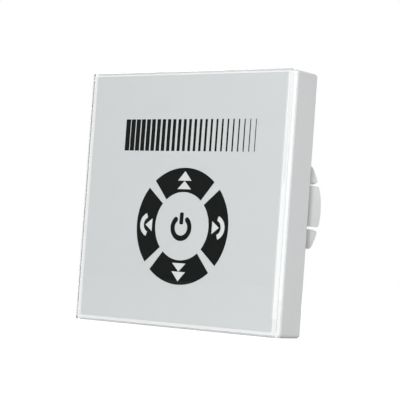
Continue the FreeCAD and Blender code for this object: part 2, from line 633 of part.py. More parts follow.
def rear_housing():
    """One moulding: square flange with snap tongues, round cup, floor and toothed skirt."""
    body = new_body("rear_housing")
    outline = new_sketch(body, "flange", "0")
    add_square(outline, FLANGE)
    flange = pad_to_room(body, outline, f"-{UPSTAND_FRONT}")
    round_edges(body, flange, runs_deep, "sizes.flange_corner", "flange_corners")
    tray = new_sketch(body, "tray", UPSTAND_FRONT)
    add_square(tray, UPSTAND_INSIDE)
    cut_to_wall(body, tray, f"{FLANGE_FRONT} - {UPSTAND_FRONT}")

    cup = new_sketch(body, "cup", "0")
    add_circle(cup, "sizes.cup_radius")
    pad_to_wall(body, cup, RIM)
    mouth = new_sketch(body, "mouth", FLANGE_FRONT)
    add_circle(mouth, CUP_INSIDE)
    cut_to_wall(body, mouth, f"{FLOOR_FRONT} - {FLANGE_FRONT}")
    recess = new_sketch(body, "recess", RIM)
    add_circle(recess, "sizes.cup_radius - sizes.skirt_wall")
    cut_to_room(body, recess, "sizes.skirt_depth")
    rebate = new_sketch(body, "rebate", FLANGE_FRONT)
    add_circle(rebate, f"{COVER} + sizes.cover_gap")
    cut_to_wall(body, rebate, "sizes.cover_thickness")

    columns = new_sketch(body, "columns", FLOOR_FRONT)
    for up in (f"-{COLUMN}", COLUMN):
        add_circle(columns, "sizes.column_radius", "0", up)
    pad_to_room(body, columns, f"{FLOOR_FRONT} - {COVER_BACK}")
    bosses = new_sketch(body, "bosses", FLOOR_FRONT)
    for across in (f"-{BOSS}", BOSS):
        add_circle(bosses, "sizes.boss_radius", across, "0")
    pad_to_room(body, bosses, "sizes.solder_gap")
    pilots = new_sketch(body, "cover_pilots", COVER_BACK)
    for up in (f"-{COLUMN}", COLUMN):
        add_circle(pilots, "sizes.pilot_radius", "0", up)
    cut_to_wall(body, pilots, "sizes.cover_pilot_depth")
    pilots = new_sketch(body, "board_pilots", BOARD_BACK)
    for across in (f"-{BOSS}", BOSS):
        add_circle(pilots, "sizes.pilot_radius", across, "0")
    cut_to_wall(body, pilots, "sizes.board_screw_grip + sizes.pilot_spare")

    window = new_sketch(body, "window", FLOOR_BACK)
    left, right = centred("0", f"{BLOCK_LENGTH} + 2 * sizes.block_fit")
    height = "sizes.block_width + 2 * sizes.block_fit"
    add_rectangle(window, left, right, *centred("sizes.block_rise", height))
    cut_to_room(body, window, "sizes.floor_thickness")

    holes = new_sketch(body, "fixing_hole", FLANGE_FRONT)
    add_circle(holes, "sizes.fixing_radius", FIXING)
    hole = cut_to_wall(body, holes, "sizes.flange_thickness")
    repeat_round(body, hole, FIXING_HOLES)

    slots = new_sketch(body, "tongue_slots", UPSTAND_FRONT)
    inner = f"{UPSTAND_INSIDE} - sizes.upstand_wall / 2"
    outer = f"{FLANGE} + sizes.snap_gap"
    for side in (-1, 1):
        for edge in (-1, 1):
            beside = f"{edge} * (sizes.tongue_width + sizes.tongue_slot) / 2"
            middle = f"{side} * sizes.tongue_offset + {beside}"
            add_rectangle(slots, inner, outer, *centred(middle, "sizes.tongue_slot"))
    slot = cut_to_wall(body, slots, f"{FLANGE_FRONT} - {UPSTAND_FRONT}")
    repeat_round(body, slot, WALLS)
    noses = new_sketch(body, "noses", f"{UPSTAND_FRONT} + sizes.nose_end")
    inner = f"{FLANGE} - sizes.upstand_wall / 2"
    outer = f"{FLANGE} + sizes.nose_reach"
    for side in (-1, 1):
        span = centred(f"{side} * sizes.tongue_offset", "sizes.tongue_width - 2 * sizes.nose_end")
        add_rectangle(noses, inner, outer, *span)
    nose = pad_to_wall(body, noses, "sizes.nose_height")
    repeat_round(body, nose, WALLS)

    webs = new_sketch(body, "webs", "0", turn=f"{180 / WALLS}")
    inner = "sizes.cup_radius - sizes.cup_wall / 2"
    outer = "sizes.cup_radius + sizes.web_reach"
    add_rectangle(webs, inner, outer, *centred("0", "sizes.web_thickness"))
    web = pad_to_wall(body, webs, "sizes.web_reach")
    webbed = repeat_round(body, web, WALLS)
    tips = body.newObject("PartDesign::Chamfer", "web_slopes")
    tips.Base = (webbed, edges_where(webbed, ends_a_web))
    tips.setExpression("Size", "sizes.web_slope")
    doc.recompute()

    outer = "sizes.cup_radius + sizes.skirt_wall"
    gap = new_sketch(body, "wire_gap", RIM, turn=f"sizes.group_turn + {180 / LUG_GROUPS}")
    add_rectangle(gap, "sizes.cup_radius - 3 * sizes.skirt_wall", outer, *centred("0", "sizes.wire_gap"))
    gap_cut = cut_to_room(body, gap, "sizes.skirt_depth")
    repeat_round(body, gap_cut, LUG_GROUPS)
    inner = "sizes.cup_radius - 2 * sizes.skirt_wall"
    for name, side in (("low", -1), ("high", 1)):
        slit = new_sketch(body, f"slit_{name}", RIM, turn=f"sizes.group_turn + {side} * sizes.slit_angle")
        add_rectangle(slit, inner, outer, *centred("0", "sizes.slit_width"))
        slit_cut = cut_to_room(body, slit, "sizes.skirt_depth")
        last = repeat_round(body, slit_cut, LUG_GROUPS)
    rim = sheet.rim_reach
    round_edges(body, last, lambda edge: is_straight(edge) and lies_at(edge, rim), "sizes.lug_round", "lugs")


def is_straight(edge):
    return edge.Curve.TypeId == "Part::GeomLine"


def off_axis(point):
    return (point.x ** 2 + point.z ** 2) ** 0.5


def ends_a_web(edge):
    """True for the rear edge at the outer end of a web."""
    reach = min(off_axis(point) for point in edge.discretize(3))
    return lies_at(edge, sheet.web_reach) and reach > sheet.cup_radius + sheet.web_slope


def inner_cover():
    """Disc that closes the cup towards the room, with vents and a window for the link."""
    body = new_body("inner_cover")
    outline = new_sketch(body, "outline", COVER_BACK)
    add_circle(outline, COVER)
    pad_to_room(body, outline, "sizes.cover_thickness")
    window = new_sketch(body, "window", FLANGE_FRONT)
    left, right = centred("0", f"{LINK_PINS} * sizes.pin_pitch + 2 * sizes.window_gap")
    height = "sizes.strip_width + 2 * sizes.window_gap"
    add_rectangle(window, left, right, *centred("sizes.pin_height", height))
    cut_to_wall(body, window, "sizes.cover_thickness")
    holes = new_sketch(body, "holes", FLANGE_FRONT)
    for up in (f"-{COLUMN}", COLUMN):
        add_circle(holes, "sizes.pilot_radius", "0", up)
    cut_to_wall(body, holes, "sizes.cover_thickness")
    vent = new_sketch(body, "vent", FLANGE_FRONT)
    left, right = centred("0", "sizes.vent_length")
    last = f"-sizes.vent_drop - {VENTS - 1} * sizes.vent_pitch"
    add_rectangle(vent, left, right, *centred(last, "sizes.vent_width"))
    first = cut_to_wall(body, vent, "sizes.cover_thickness")
    repeat_along(body, first, "Z_Axis", f"{VENTS - 1} * sizes.vent_pitch", VENTS)


def small_screw(name, across, up, seat, tip):
    """Slotted pan-head screw whose head stands on a seat towards the room."""
    front = f"({seat} - sizes.head_height)"
    head = new_rod(f"{name}_head", "sizes.head_radius", (front, seat), across, up)
    shank = new_rod(f"{name}_shank", "sizes.pilot_radius", (seat, tip), across, up)
    slot = new_box(
        f"{name}_slot", centred(across, "2 * sizes.head_radius"), (front, f"{front} + sizes.drive_depth"),
        centred(up, "sizes.drive_width"),
    )
    return cut(name, join(f"{name}_blank", [head, shank]), slot)


def screw_pairs():
    """Two screws hold the inner cover and two hold the power board."""
    cover = []
    board = []
    cover_tip = f"{COVER_BACK} + sizes.cover_screw_length"
    board_tip = f"{BOARD_BACK} + sizes.board_screw_grip"
    for index, side in enumerate(("-", "")):
        up = f"{side}{COLUMN}"
        cover.append(small_screw(f"cover_screw_{index}", "0", up, FLANGE_FRONT, cover_tip))
        across = f"{side}{BOSS}"
        board.append(small_screw(f"board_screw_{index}", across, "0", BOARD_FRONT, board_tip))
    finish(group("cover_screws", cover), "cover_screws")
    finish(group("board_screws", board), "board_screws")


def pole_across(index):
    return f"({index - (POLES - 1) / 2} * sizes.pole_pitch)"


def power_board():
    """Round board with notches for the columns, screw holes and holes for the solder legs."""
    body = new_body("power_board")
    outline = new_sketch(body, "outline", BOARD_BACK)
    add_circle(outline, BOARD)
    pad_to_room(body, outline, "sizes.board_thickness")
    notches = new_sketch(body, "notches", BOARD_FRONT)
    for up in (f"-{COLUMN}", COLUMN):
        add_circle(notches, "sizes.column_radius + sizes.notch_gap", "0", up)
    cut_to_wall(body, notches, "sizes.board_thickness")
    holes = new_sketch(body, "holes", BOARD_FRONT)
    for across in (f"-{BOSS}", BOSS):
        add_circle(holes, "sizes.pilot_radius", across, "0")
    cut_to_wall(body, holes, "sizes.board_thickness")
    leg = new_sketch(body, "leg_hole", BOARD_FRONT)
    left, right = centred(pole_across(0), "sizes.leg_width + 2 * sizes.leg_play")
    add_rectangle(leg, left, right, f"{LEG_LOW} - sizes.leg_play", f"{LEG_HIGH} + sizes.leg_play")
    first = cut_to_wall(body, leg, "sizes.board_thickness")
    repeat_along(body, first, "X_Axis", f"{POLES - 1} * sizes.pole_pitch", POLES)


def terminal_block():
    """Moulded block with a chamber, a screw bore and a wire entry for each pole."""
    body = new_body("terminal_block")
    outline = new_sketch(body, "outline", BOARD_BACK)
    left, right = centred("0", BLOCK_LENGTH)
    add_rectangle(outline, left, right, BLOCK_LOW, BLOCK_HIGH)
    pad_to_wall(body, outline, f"{BLOCK_BACK} - {BOARD_BACK}")

    chamber = new_sketch(body, "chamber", BOARD_BACK)
    left, right = centred(pole_across(0), "sizes.pole_width")
    add_rectangle(chamber, left, right, CHAMBER_LOW, CHAMBER_HIGH)
    first = cut_to_wall(body, chamber, f"{SHELF_LOW} - {BOARD_BACK}")
    row = f"{POLES - 1} * sizes.pole_pitch"
    repeat_along(body, first, "X_Axis", row, POLES)

    bore = new_sketch(body, "shank_bore", SHELF_LOW)
    add_circle(bore, "sizes.clamp_screw_radius + sizes.running_gap", pole_across(0), SCREW_UP)
    first = cut_to_wall(body, bore, "sizes.shelf_thickness")
    repeat_along(body, first, "X_Axis", row, POLES)
    bore = new_sketch(body, "head_bore", SHELF_HIGH)
    add_circle(bore, "sizes.clamp_head_radius + sizes.running_gap", pole_across(0), SCREW_UP)
    first = cut_to_wall(body, bore, f"{BLOCK_BACK} - {SHELF_HIGH}")
    repeat_along(body, first, "X_Axis", row, POLES)

    entry = new_sketch(body, "entry", BLOCK_LOW, plane="XY_Plane")
    left, right = centred(pole_across(0), "sizes.entry_width")
    add_rectangle(entry, left, right, SILL, BAR_LOW)
    first = cut_to_room(body, entry, "sizes.block_wall")
    repeat_along(body, first, "X_Axis", row, POLES)
    groove = new_sketch(body, "groove", BLOCK_LOW, plane="XY_Plane")
    middle = f"({1 - POLES / 2} * sizes.pole_pitch)"
    left, right = centred(middle, "sizes.rib_groove")
    add_rectangle(groove, left, right, FLOOR_BACK, BLOCK_BACK)
    first = cut_to_room(body, groove, "sizes.rib_groove")
    repeat_along(body, first, "X_Axis", f"{POLES - 2} * sizes.pole_pitch", POLES - 1)


def contact_bars():
    """Bent copper contacts: a bar through each cage and a leg soldered to the power board."""
    contacts = []
    leg_front = f"{BOARD_FRONT} - sizes.leg_proud"
    for index in range(POLES):
        across = centred(pole_across(index), "sizes.bar_width")
        bar = new_box(f"contact_bar_{index}", across, (BAR_LOW, BAR_HIGH), (CAGE_LOW, LEG_HIGH))
        across = centred(pole_across(index), "sizes.leg_width")
        leg = new_box(f"contact_leg_{index}", across, (leg_front, BAR_HIGH), (LEG_LOW, LEG_HIGH))
        contacts.append(join(f"contact_{index}", [bar, leg]))
    finish(group("contact_bars", contacts), "contact_bars")


def clamp_cage(index):
    """Rising cage: a square loop whose threaded end the terminal screw draws back."""
    middle = pole_across(index)
    side = "sizes.pole_width - 2 * sizes.running_gap"
    deep = (f"{SILL} - sizes.jaw_thickness", PLATE_HIGH)
    loop = new_box(f"cage_loop_{index}", centred(middle, side), deep, (CAGE_LOW, CAGE_HIGH))
    opening = centred(middle, f"{side} - 2 * sizes.cage_wall")
    way = new_box(f"cage_way_{index}", opening, (SILL, PLATE_LOW), (CAGE_LOW, CAGE_HIGH))
    radius = "sizes.clamp_screw_radius + sizes.thread_play"
    thread = new_rod(f"cage_thread_{index}", radius, (PLATE_LOW, PLATE_HIGH), middle, SCREW_UP)
    name = f"clamp_cage_{index + 1}"
    finish(cut(name, loop, join(f"cage_cuts_{index}", [way, thread])), name)


def terminal_screw(index):
    """Slotted screw that turns in the block without moving along its axis."""
    middle = pole_across(index)
    head = new_rod(f"clamp_head_{index}", "sizes.clamp_head_radius", (HEAD_LOW, HEAD_HIGH), middle, SCREW_UP)
    tip = f"{BAR_HIGH} + 2 * sizes.running_gap"
    shank = new_rod(f"clamp_shank_{index}", "sizes.clamp_screw_radius", (tip, HEAD_LOW), middle, SCREW_UP)
    slot = new_box(
        f"clamp_slot_{index}", centred(middle, "2 * sizes.clamp_head_radius"),
        (f"{HEAD_HIGH} - sizes.clamp_slot_depth", HEAD_HIGH), centred(SCREW_UP, "sizes.clamp_slot_width"),
    )
    name = f"terminal_screw_{index + 1}"
    finish(cut(name, join(f"clamp_blank_{index}", [head, shank]), slot), name)


def capacitors():
    """Two round capacitors that stand on the power board."""
    cans = []
    for index, side in enumerate(("-", "")):
        deep = (f"{COVER_BACK} + sizes.can_room", BOARD_FRONT)
        place = (f"{side}sizes.can_offset", "-sizes.can_drop")
        cans.append(new_rod(f"can_{index}", "sizes.can_radius", deep, *place))
    finish(group("capacitors", cans), "capacitors")


def choke():
    """Square shielded choke with cut corners."""
    body = new_body("choke")
    outline = new_sketch(body, "outline", BOARD_FRONT)
    left, right = centred("0", "sizes.coil_side")
    add_rectangle(outline, left, right, *centred(f"sizes.coil_edge - {BOARD}", "sizes.coil_side"))
    block = pad_to_room(body, outline, "sizes.coil_height")
    chamfer = body.newObject("PartDesign::Chamfer", "choke_corners")
    chamfer.Base = (block, edges_where(block, runs_deep))
    chamfer.setExpression("Size", "sizes.coil_corner")


def power_transistors():
    """Two flat power transistors with a soldered metal tab and two leads each."""
    chips = []
    rise = "sizes.power_chip_rise"
    case_deep = (f"{BOARD_FRONT} - sizes.power_chip_height", BOARD_FRONT)
    case_up = centred(rise, "sizes.power_chip_side")
    metal_deep = (f"{BOARD_FRONT} - sizes.tab_thickness", BOARD_FRONT)
    tab_up = (rise, f"{rise} + sizes.power_chip_side / 2 + sizes.tab_reach")
    lead_up = (f"{rise} - sizes.power_chip_side / 2 - 2 * sizes.lead_reach", rise)
    for index, side in enumerate(("-", "")):
        middle = f"{side}sizes.power_chip_offset"
        case_across = centred(middle, "sizes.power_chip_side")
        parts = [
            new_box(f"power_case_{index}", case_across, case_deep, case_up),
            new_box(f"power_tab_{index}", centred(middle, "sizes.tab_width"), metal_deep, tab_up),
        ]
        for lead in (-1, 1):
            place = f"{middle} + {lead} * sizes.power_chip_side / 3"
            across = centred(place, "2 * sizes.lead_width")
            parts.append(new_box(f"power_lead_{index}_{lead + 1}", across, metal_deep, lead_up))
        chips.append(join(f"power_transistor_{index}", parts))
    finish(group("power_transistors", chips), "power_transistors")


def fuse():
    """Square fuse with a metal cap at each end."""
    front = f"{BOARD_FRONT} - sizes.fuse_height"
    deep = (front, BOARD_FRONT)
    middle = f"sizes.fuse_edge - {BOARD}"
    up = centred(middle, "sizes.fuse_width")
    inner_up = centred(middle, "sizes.fuse_width - 2 * sizes.cap_proud")
    inner_deep = (f"{front} + sizes.cap_proud", f"{BOARD_FRONT} - sizes.cap_proud")
    end = "sizes.fuse_length / 2"
    case = new_box("fuse_case", centred("0", "sizes.fuse_length - sizes.fuse_cap"), inner_deep, inner_up)
    left = new_box("fuse_left", (f"-{end}", f"-{end} + sizes.fuse_cap"), deep, up)
    right = new_box("fuse_right", (f"{end} - sizes.fuse_cap", end), deep, up)
    finish(join("fuse", [case, left, right]), "fuse")


glass_panel()
flat_layer("printed_film", FILM, "sizes.glass_corner", TAPE_FRONT, "sizes.film_thickness")
flat_layer("mounting_tape", FILM, "sizes.glass_corner", FRAME_FRONT, "sizes.tape_thickness")
front_frame()
touch_board()
touch_electrodes()
indicator_lamps()
finish(
    new_chip(
        "touch_chip", ("0", f"sizes.touch_chip_edge - {TOUCH}"), "sizes.touch_chip_length",
        "sizes.chip_width", TOUCH_BACK, 1, 7,
    ),
    "touch_chip",
)
link_strip("pin_strip", TOUCH_BACK, STRIP_BACK, "sizes.pin_side")
link_pins()
rear_housing()
inner_cover()
screw_pairs()
power_board()
link_strip("link_socket", SOCKET_FRONT, BOARD_FRONT, "sizes.pin_side + 2 * sizes.pin_play")
terminal_block()
contact_bars()
for pole in range(POLES):
    clamp_cage(pole)
    terminal_screw(pole)
capacitors()
choke()
power_transistors()
fuse()
finish(
    new_chip(
        "dimmer_chip", (f"sizes.chip_edge - {BOARD}", "sizes.chip_rise"), "sizes.dimmer_chip_length",
        "sizes.chip_width", BOARD_FRONT, -1, 4,
    ),
    "dimmer_chip",
)
finish(
    new_chip(
        "supply_chip", (f"{BOARD} - sizes.chip_edge", "sizes.chip_rise"), "sizes.supply_length",
        "sizes.supply_width", BOARD_FRONT, -1, 3, "sizes.supply_pitch",
    ),
    "supply_chip",
)

doc.recompute()
faults = [item.Name for item in doc.Objects if {"Invalid", "Error"} & set(item.State)]
faults += [piece.Label for piece in pieces if piece.Shape.isNull() or not piece.Shape.isValid()]
if faults:
    raise RuntimeError(f"these objects failed: {faults}")

os.makedirs("parts", exist_ok=True)
for piece in pieces:
    piece.Shape.exportStep(f"parts/{piece.Label}.step")
    box = piece.Shape.BoundBox
    print(piece.Label, len(piece.Shape.Solids), "solids", round(piece.Shape.Volume, 1), "mm3", box)
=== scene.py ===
import bpy
import bmesh
import math
from mathutils import Matrix, Vector


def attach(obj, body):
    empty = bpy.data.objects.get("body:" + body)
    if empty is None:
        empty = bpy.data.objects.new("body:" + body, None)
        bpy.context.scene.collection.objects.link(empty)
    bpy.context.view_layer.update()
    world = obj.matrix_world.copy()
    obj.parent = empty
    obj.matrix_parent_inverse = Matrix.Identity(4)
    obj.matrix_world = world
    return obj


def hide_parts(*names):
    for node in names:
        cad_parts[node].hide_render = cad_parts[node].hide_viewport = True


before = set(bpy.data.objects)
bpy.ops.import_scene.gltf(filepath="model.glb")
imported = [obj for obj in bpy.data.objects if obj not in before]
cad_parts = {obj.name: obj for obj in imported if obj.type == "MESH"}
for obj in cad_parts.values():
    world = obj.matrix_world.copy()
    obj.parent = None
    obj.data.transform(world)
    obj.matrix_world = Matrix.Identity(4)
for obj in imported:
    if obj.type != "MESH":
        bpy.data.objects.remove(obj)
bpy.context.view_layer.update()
scene = bpy.context.scene
scene.view_settings.view_transform = "Standard"


# Rear housing. One moulding in white polycarbonate: the square flange with its snap tongues, the
# round cup that sinks into the wall box, and the toothed skirt that guards the terminals.
SHARP_EDGE = 50
GRAIN_DEPTH = 0.0002
# The colour sockets of a Mix node, whose names its other sockets share.
MIX_FIRST, MIX_SECOND, MIX_RESULT = 6, 7, 2


def deselect_all():
    """Leaves edit mode and lets go of every piece."""
    if bpy.context.object and bpy.context.object.mode != "OBJECT":
        bpy.ops.object.mode_set(mode="OBJECT")
    bpy.ops.object.select_all(action="DESELECT")


def take_up(piece):
    """Selects one piece alone and makes it the active one."""
    deselect_all()
    piece.select_set(True)
    bpy.context.view_layer.objects.active = piece


def joined_copy(node, name):
    """A copy of a solid's mesh with its triangles merged into whole faces."""
    piece = bpy.data.objects.new(name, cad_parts[node].data.copy())
    scene.collection.objects.link(piece)
    take_up(piece)
    bpy.ops.mesh.customdata_custom_splitnormals_clear()
    bpy.ops.object.mode_set(mode="EDIT")
    bpy.ops.mesh.select_all(action="SELECT")
    bpy.ops.mesh.remove_doubles(threshold=0.000002)
    bpy.ops.mesh.dissolve_limited(angle_limit=math.radians(0.5))
    bpy.ops.object.mode_set(mode="OBJECT")
    return piece


def soften_edges(piece, width):
    """The small radius that a tool leaves on every sharp edge."""
    take_up(piece)
    bpy.ops.object.modifier_add(type="BEVEL")
    radius = piece.modifiers[-1]
    radius.width = width
    radius.segments = 2
    radius.limit_method = "ANGLE"
    radius.angle_limit = math.radians(SHARP_EDGE)
    bpy.ops.object.modifier_apply(modifier=radius.name)


def smooth(piece, angle=35):
    """Smooth shading that keeps broad faces flat."""
    take_up(piece)
    bpy.ops.mesh.customdata_custom_splitnormals_clear()
    bpy.ops.object.shade_smooth_by_angle(angle=math.radians(angle))
    bpy.ops.object.modifier_add(type="WEIGHTED_NORMAL")
    weighting = piece.modifiers[-1]
    weighting.keep_sharp = True
    bpy.ops.object.modifier_apply(modifier=weighting.name)


def build_surface_group():
    """A faint unevenness of colour, gloss and height, as on any moulded or rolled surface."""
    tree = bpy.data.node_groups.new("uneven_surface", "ShaderNodeTree")
    sockets = (
        ("Colour", "INPUT", "NodeSocketColor"),
        ("Second Colour", "INPUT", "NodeSocketColor"),
        ("Cloud Scale", "INPUT", "NodeSocketFloat"),
        ("Grain Scale", "INPUT", "NodeSocketFloat"),
        ("Roughness", "INPUT", "NodeSocketFloat"),
        ("Roughness Spread", "INPUT", "NodeSocketFloat"),
        ("Surface Colour", "OUTPUT", "NodeSocketColor"),
        ("Surface Roughness", "OUTPUT", "NodeSocketFloat"),
        ("Height", "OUTPUT", "NodeSocketFloat"),
    )
    for name, way, kind in sockets:
        tree.interface.new_socket(name=name, in_out=way, socket_type=kind)
    given = tree.nodes.new("NodeGroupInput")
    result = tree.nodes.new("NodeGroupOutput")
    place = tree.nodes.new("ShaderNodeTexCoord")
    clouds = tree.nodes.new("ShaderNodeTexNoise")
    grain = tree.nodes.new("ShaderNodeTexNoise")
    clouds.inputs["Detail"].default_value = 3.0
    grain.inputs["Detail"].default_value = 2.0
    for noise, scale in ((clouds, "Cloud Scale"), (grain, "Grain Scale")):
        tree.links.new(place.outputs["Object"], noise.inputs["Vector"])
        tree.links.new(given.outputs[scale], noise.inputs["Scale"])
    blend = tree.nodes.new("ShaderNodeMix")
    blend.data_type = "RGBA"
    tree.links.new(clouds.outputs["Fac"], blend.inputs["Factor"])
    tree.links.new(given.outputs["Colour"], blend.inputs[MIX_FIRST])
    tree.links.new(given.outputs["Second Colour"], blend.inputs[MIX_SECOND])
    tree.links.new(blend.outputs[MIX_RESULT], result.inputs["Surface Colour"])
    spread = tree.nodes.new("ShaderNodeMath")
    spread.operation = "MULTIPLY_ADD"
    tree.links.new(grain.outputs["Fac"], spread.inputs[0])
    tree.links.new(given.outputs["Roughness Spread"], spread.inputs[1])
    tree.links.new(given.outputs["Roughness"], spread.inputs[2])
    tree.links.new(spread.outputs[0], result.inputs["Surface Roughness"])
    tree.links.new(grain.outputs["Fac"], result.inputs["Height"])
    return tree


uneven_surface = build_surface_group()


def new_finish(
    name, colour, second, roughness, spread=0.08, clouds=60, grain=2500, bump=0.02, metallic=0.0
):
    """A material of two near colours in soft clouds, with a fine grain in its gloss and height."""
    finish = bpy.data.materials.new(name)
    finish.use_nodes = True
    nodes, links = finish.node_tree.nodes, finish.node_tree.links
    shader = nodes["Principled BSDF"]
    shader.inputs["Metallic"].default_value = metallic
    surface = nodes.new("ShaderNodeGroup")
    surface.node_tree = uneven_surface
    surface.inputs["Colour"].default_value = (*colour, 1)
    surface.inputs["Second Colour"].default_value = (*second, 1)
    surface.inputs["Cloud Scale"].default_value = clouds
    surface.inputs["Grain Scale"].default_value = grain
    surface.inputs["Roughness"].default_value = roughness
    surface.inputs["Roughness Spread"].default_value = spread
    links.new(surface.outputs["Surface Colour"], shader.inputs["Base Color"])
    links.new(surface.outputs["Surface Roughness"], shader.inputs["Roughness"])
    raised = nodes.new("ShaderNodeBump")
    raised.inputs["Strength"].default_value = bump
    raised.inputs["Distance"].default_value = GRAIN_DEPTH
    links.new(surface.outputs["Height"], raised.inputs["Height"])
    links.new(raised.outputs["Normal"], shader.inputs["Normal"])
    return finish


def dress(piece, finish):
    """Gives a piece one finish all over."""
    piece.data.materials.clear()
    piece.data.materials.append(finish)


def fitted_copy(node, name, body, finish, edge=0.0001):
    """A smooth copy that takes the place of a solid and moves with its body."""
    piece = joined_copy(node, name)
    soften_edges(piece, edge)
    smooth(piece)
    dress(piece, finish)
    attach(piece, body)
    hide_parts(node)
    return piece


housing_white = new_finish(
    "housing_white", (0.79, 0.80, 0.80), (0.765, 0.775, 0.775), 0.42, bump=0.006
)
fitted_copy(
    "rear_housing", "housing_moulding", "rear_unit", housing_white, edge=0.0002
)


# Terminal block. A moulding in green polyamide with a chamber for each of the four poles. It is
# soldered to the power board and looks out of the back through the floor of the cup. A number
# stands on the face beside each screw.
POLES = 4
POLE_PITCH = 0.00508
BLOCK_BACK = 0.0274
NUMBER_UP = 0.0058
NUMBER_TALL = 0.0024
NUMBER_RAISED = 0.00006

terminal_green = new_finish(
    "terminal_green", (0.03, 0.27, 0.09), (0.025, 0.23, 0.075), 0.36, bump=0.01
)
fitted_copy(
    "terminal_block", "terminal_moulding", "rear_unit", terminal_green,
    edge=0.00012,
)


def settle(piece):
    """Puts the place, turn and size of a piece into its mesh."""
    take_up(piece)
    bpy.ops.object.transform_apply(location=True, rotation=True, scale=True)


def join_pieces(name, items):
    """Makes one piece of several."""
    deselect_all()
    for item in items:
        item.select_set(True)
    bpy.context.view_layer.objects.active = items[0]
    bpy.ops.object.join()
    items[0].name = name
    return items[0]


def pole_across(pole):
    """How far right of the middle a pole lies, counted from 1."""
    return (pole - (POLES + 1) / 2) * POLE_PITCH


numbers = []
for pole in range(1, POLES + 1):
    deselect_all()
    bpy.ops.object.text_add(
        location=(pole_across(pole), BLOCK_BACK, NUMBER_UP), rotation=(math.pi / 2, 0, math.pi),
    )
    number = bpy.context.object
    number.data.body = str(pole)
    number.data.align_x = "CENTER"
    number.data.align_y = "CENTER"
    number.data.size = NUMBER_TALL
    number.data.extrude = NUMBER_RAISED
    bpy.ops.object.convert(target="MESH")
    settle(number)
    bpy.ops.object.mode_set(mode="EDIT")
    bpy.ops.mesh.select_all(action="SELECT")
    bpy.ops.mesh.remove_doubles(threshold=0.000001)
    bpy.ops.mesh.normals_make_consistent(inside=False)
    bpy.ops.object.mode_set(mode="OBJECT")
    numbers.append(number)
pole_numbers = join_pieces("pole_numbers", numbers)
number_white = new_finish("number_white", (0.78, 0.79, 0.78), (0.74, 0.75, 0.74), 0.5)
dress(pole_numbers, number_white)
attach(pole_numbers, "rear_unit")


# Clamps and terminal screws. Tinned steel cages that rise to grip the wire when their slotted
# screws, zinc plated, are turned from the back.
def new_metal(name, colour, second, roughness, spread=0.1, clouds=200, grain=4000, bump=0.02):
    """The finish of a bare or plated metal."""
    return new_finish(name, colour, second, roughness, spread, clouds, grain, bump, metallic=1.0)


plated_steel = new_metal(
    "plated_steel", (0.66, 0.66, 0.64), (0.56, 0.57, 0.57), 0.24, spread=0.16, clouds=180
)
tinned = new_metal("tinned_metal", (0.72, 0.71, 0.68), (0.62, 0.61, 0.58), 0.3, spread=0.12)
for pole in range(1, POLES + 1):
    fitted_copy(
        f"clamp_cage_{pole}", f"wire_clamp_{pole}", f"cage_{pole}", tinned, edge=0.00006
    )
    fitted_copy(
        f"terminal_screw_{pole}", f"wire_screw_{pole}", f"screw_{pole}",
        plated_steel, edge=0.00012,
    )


# Contacts. Tinned copper bars that cross the clamps, so that each wire is gripped against a bar.
# Every bar has a leg that is soldered to the power board.
fitted_copy("contact_bars", "wire_contacts", "rear_unit", tinned, edge=0.00006)


# Power board. A round glass-fibre board under green lacquer, on two bosses of the cup. Tin holds
# the contact legs, and white print frames the place of each part.
BOARD_FRONT = 0.0114
PRINT_THICK = 0.00003
LEG_UP = 0.00595
JOINT_FRONT = BOARD_FRONT - 0.0006
JOINT_RADIUS = 0.0011
JOINT_TAPER = 0.45
JOINT_ROUND = 0.0002
CAN_ACROSS = 0.0125
CAN_UP = -0.010
CAN_MARK_RADIUS = 0.0045
MARK_WIDE = 0.0002
# The printed outlines, each by its lower left and its upper right corner.
MARKS = (
    ("choke_mark", (-0.0041, -0.0160), (0.0041, -0.0079)),
    ("fuse_mark", (-0.0039, -0.0199), (0.0039, -0.0162)),
    ("dimmer_mark", (-0.0165, 0.0097), (-0.0105, 0.0163)),
    ("supply_mark", (0.0098, 0.0099), (0.0172, 0.0161)),
    ("left_transistor_mark", (-0.0122, -0.0054), (-0.0048, 0.0052)),
    ("right_transistor_mark", (0.0048, -0.0054), (0.0122, 0.0052)),
    ("socket_mark", (-0.0080, 0.0109), (0.0080, 0.0141)),
)

board_green = new_finish(
    "board_green", (0.03, 0.17, 0.07), (0.02, 0.12, 0.05), 0.3, spread=0.1, clouds=120, bump=0.01
)
fitted_copy("power_board", "round_board", "rear_unit", board_green, edge=0.00006)
fitted_copy(
    "board_screws", "round_board_screws", "rear_unit", plated_steel, edge=0.00012
)


def new_block(name, low, high):
    """A block between two corners."""
    deselect_all()
    low, high = Vector(low), Vector(high)
    bpy.ops.mesh.primitive_cube_add(size=1, location=(low + high) / 2, scale=high - low)
    block = bpy.context.object
    block.name = name
    settle(block)
    return block


def new_rod(name, middle, radius, front, back, sides=48):
    """A round bar along the depth of the object."""
    deselect_all()
    across, up = middle
    bpy.ops.mesh.primitive_cylinder_add(
        vertices=sides, radius=radius, depth=back - front,
        location=(across, (front + back) / 2, up), rotation=(math.pi / 2, 0, 0),
    )
    rod = bpy.context.object
    rod.name = name
    settle(rod)
    return rod


def pick(piece, faces=None, edges=None):
    """Opens a piece for editing with the faces or edges that pass a test selected."""
    take_up(piece)
    bpy.ops.object.mode_set(mode="EDIT")
    bpy.ops.mesh.select_mode(type="FACE" if faces else "EDGE")
    mesh = bmesh.from_edit_mesh(piece.data)
    for item in mesh.verts[:] + mesh.edges[:] + mesh.faces[:]:
        item.select = False
    if faces:
        for face in mesh.faces:
            if faces(face):
                face.select_set(True)
    if edges:
        for edge in mesh.edges:
            if edges(edge):
                edge.select_set(True)
    bmesh.update_edit_mesh(piece.data)


def close_edit():
    """Ends the work that pick opened."""
    bpy.ops.object.mode_set(mode="OBJECT")


def faces_room(face):
    """True on a face that looks straight out of the wall."""
    return face.normal.y < -0.99


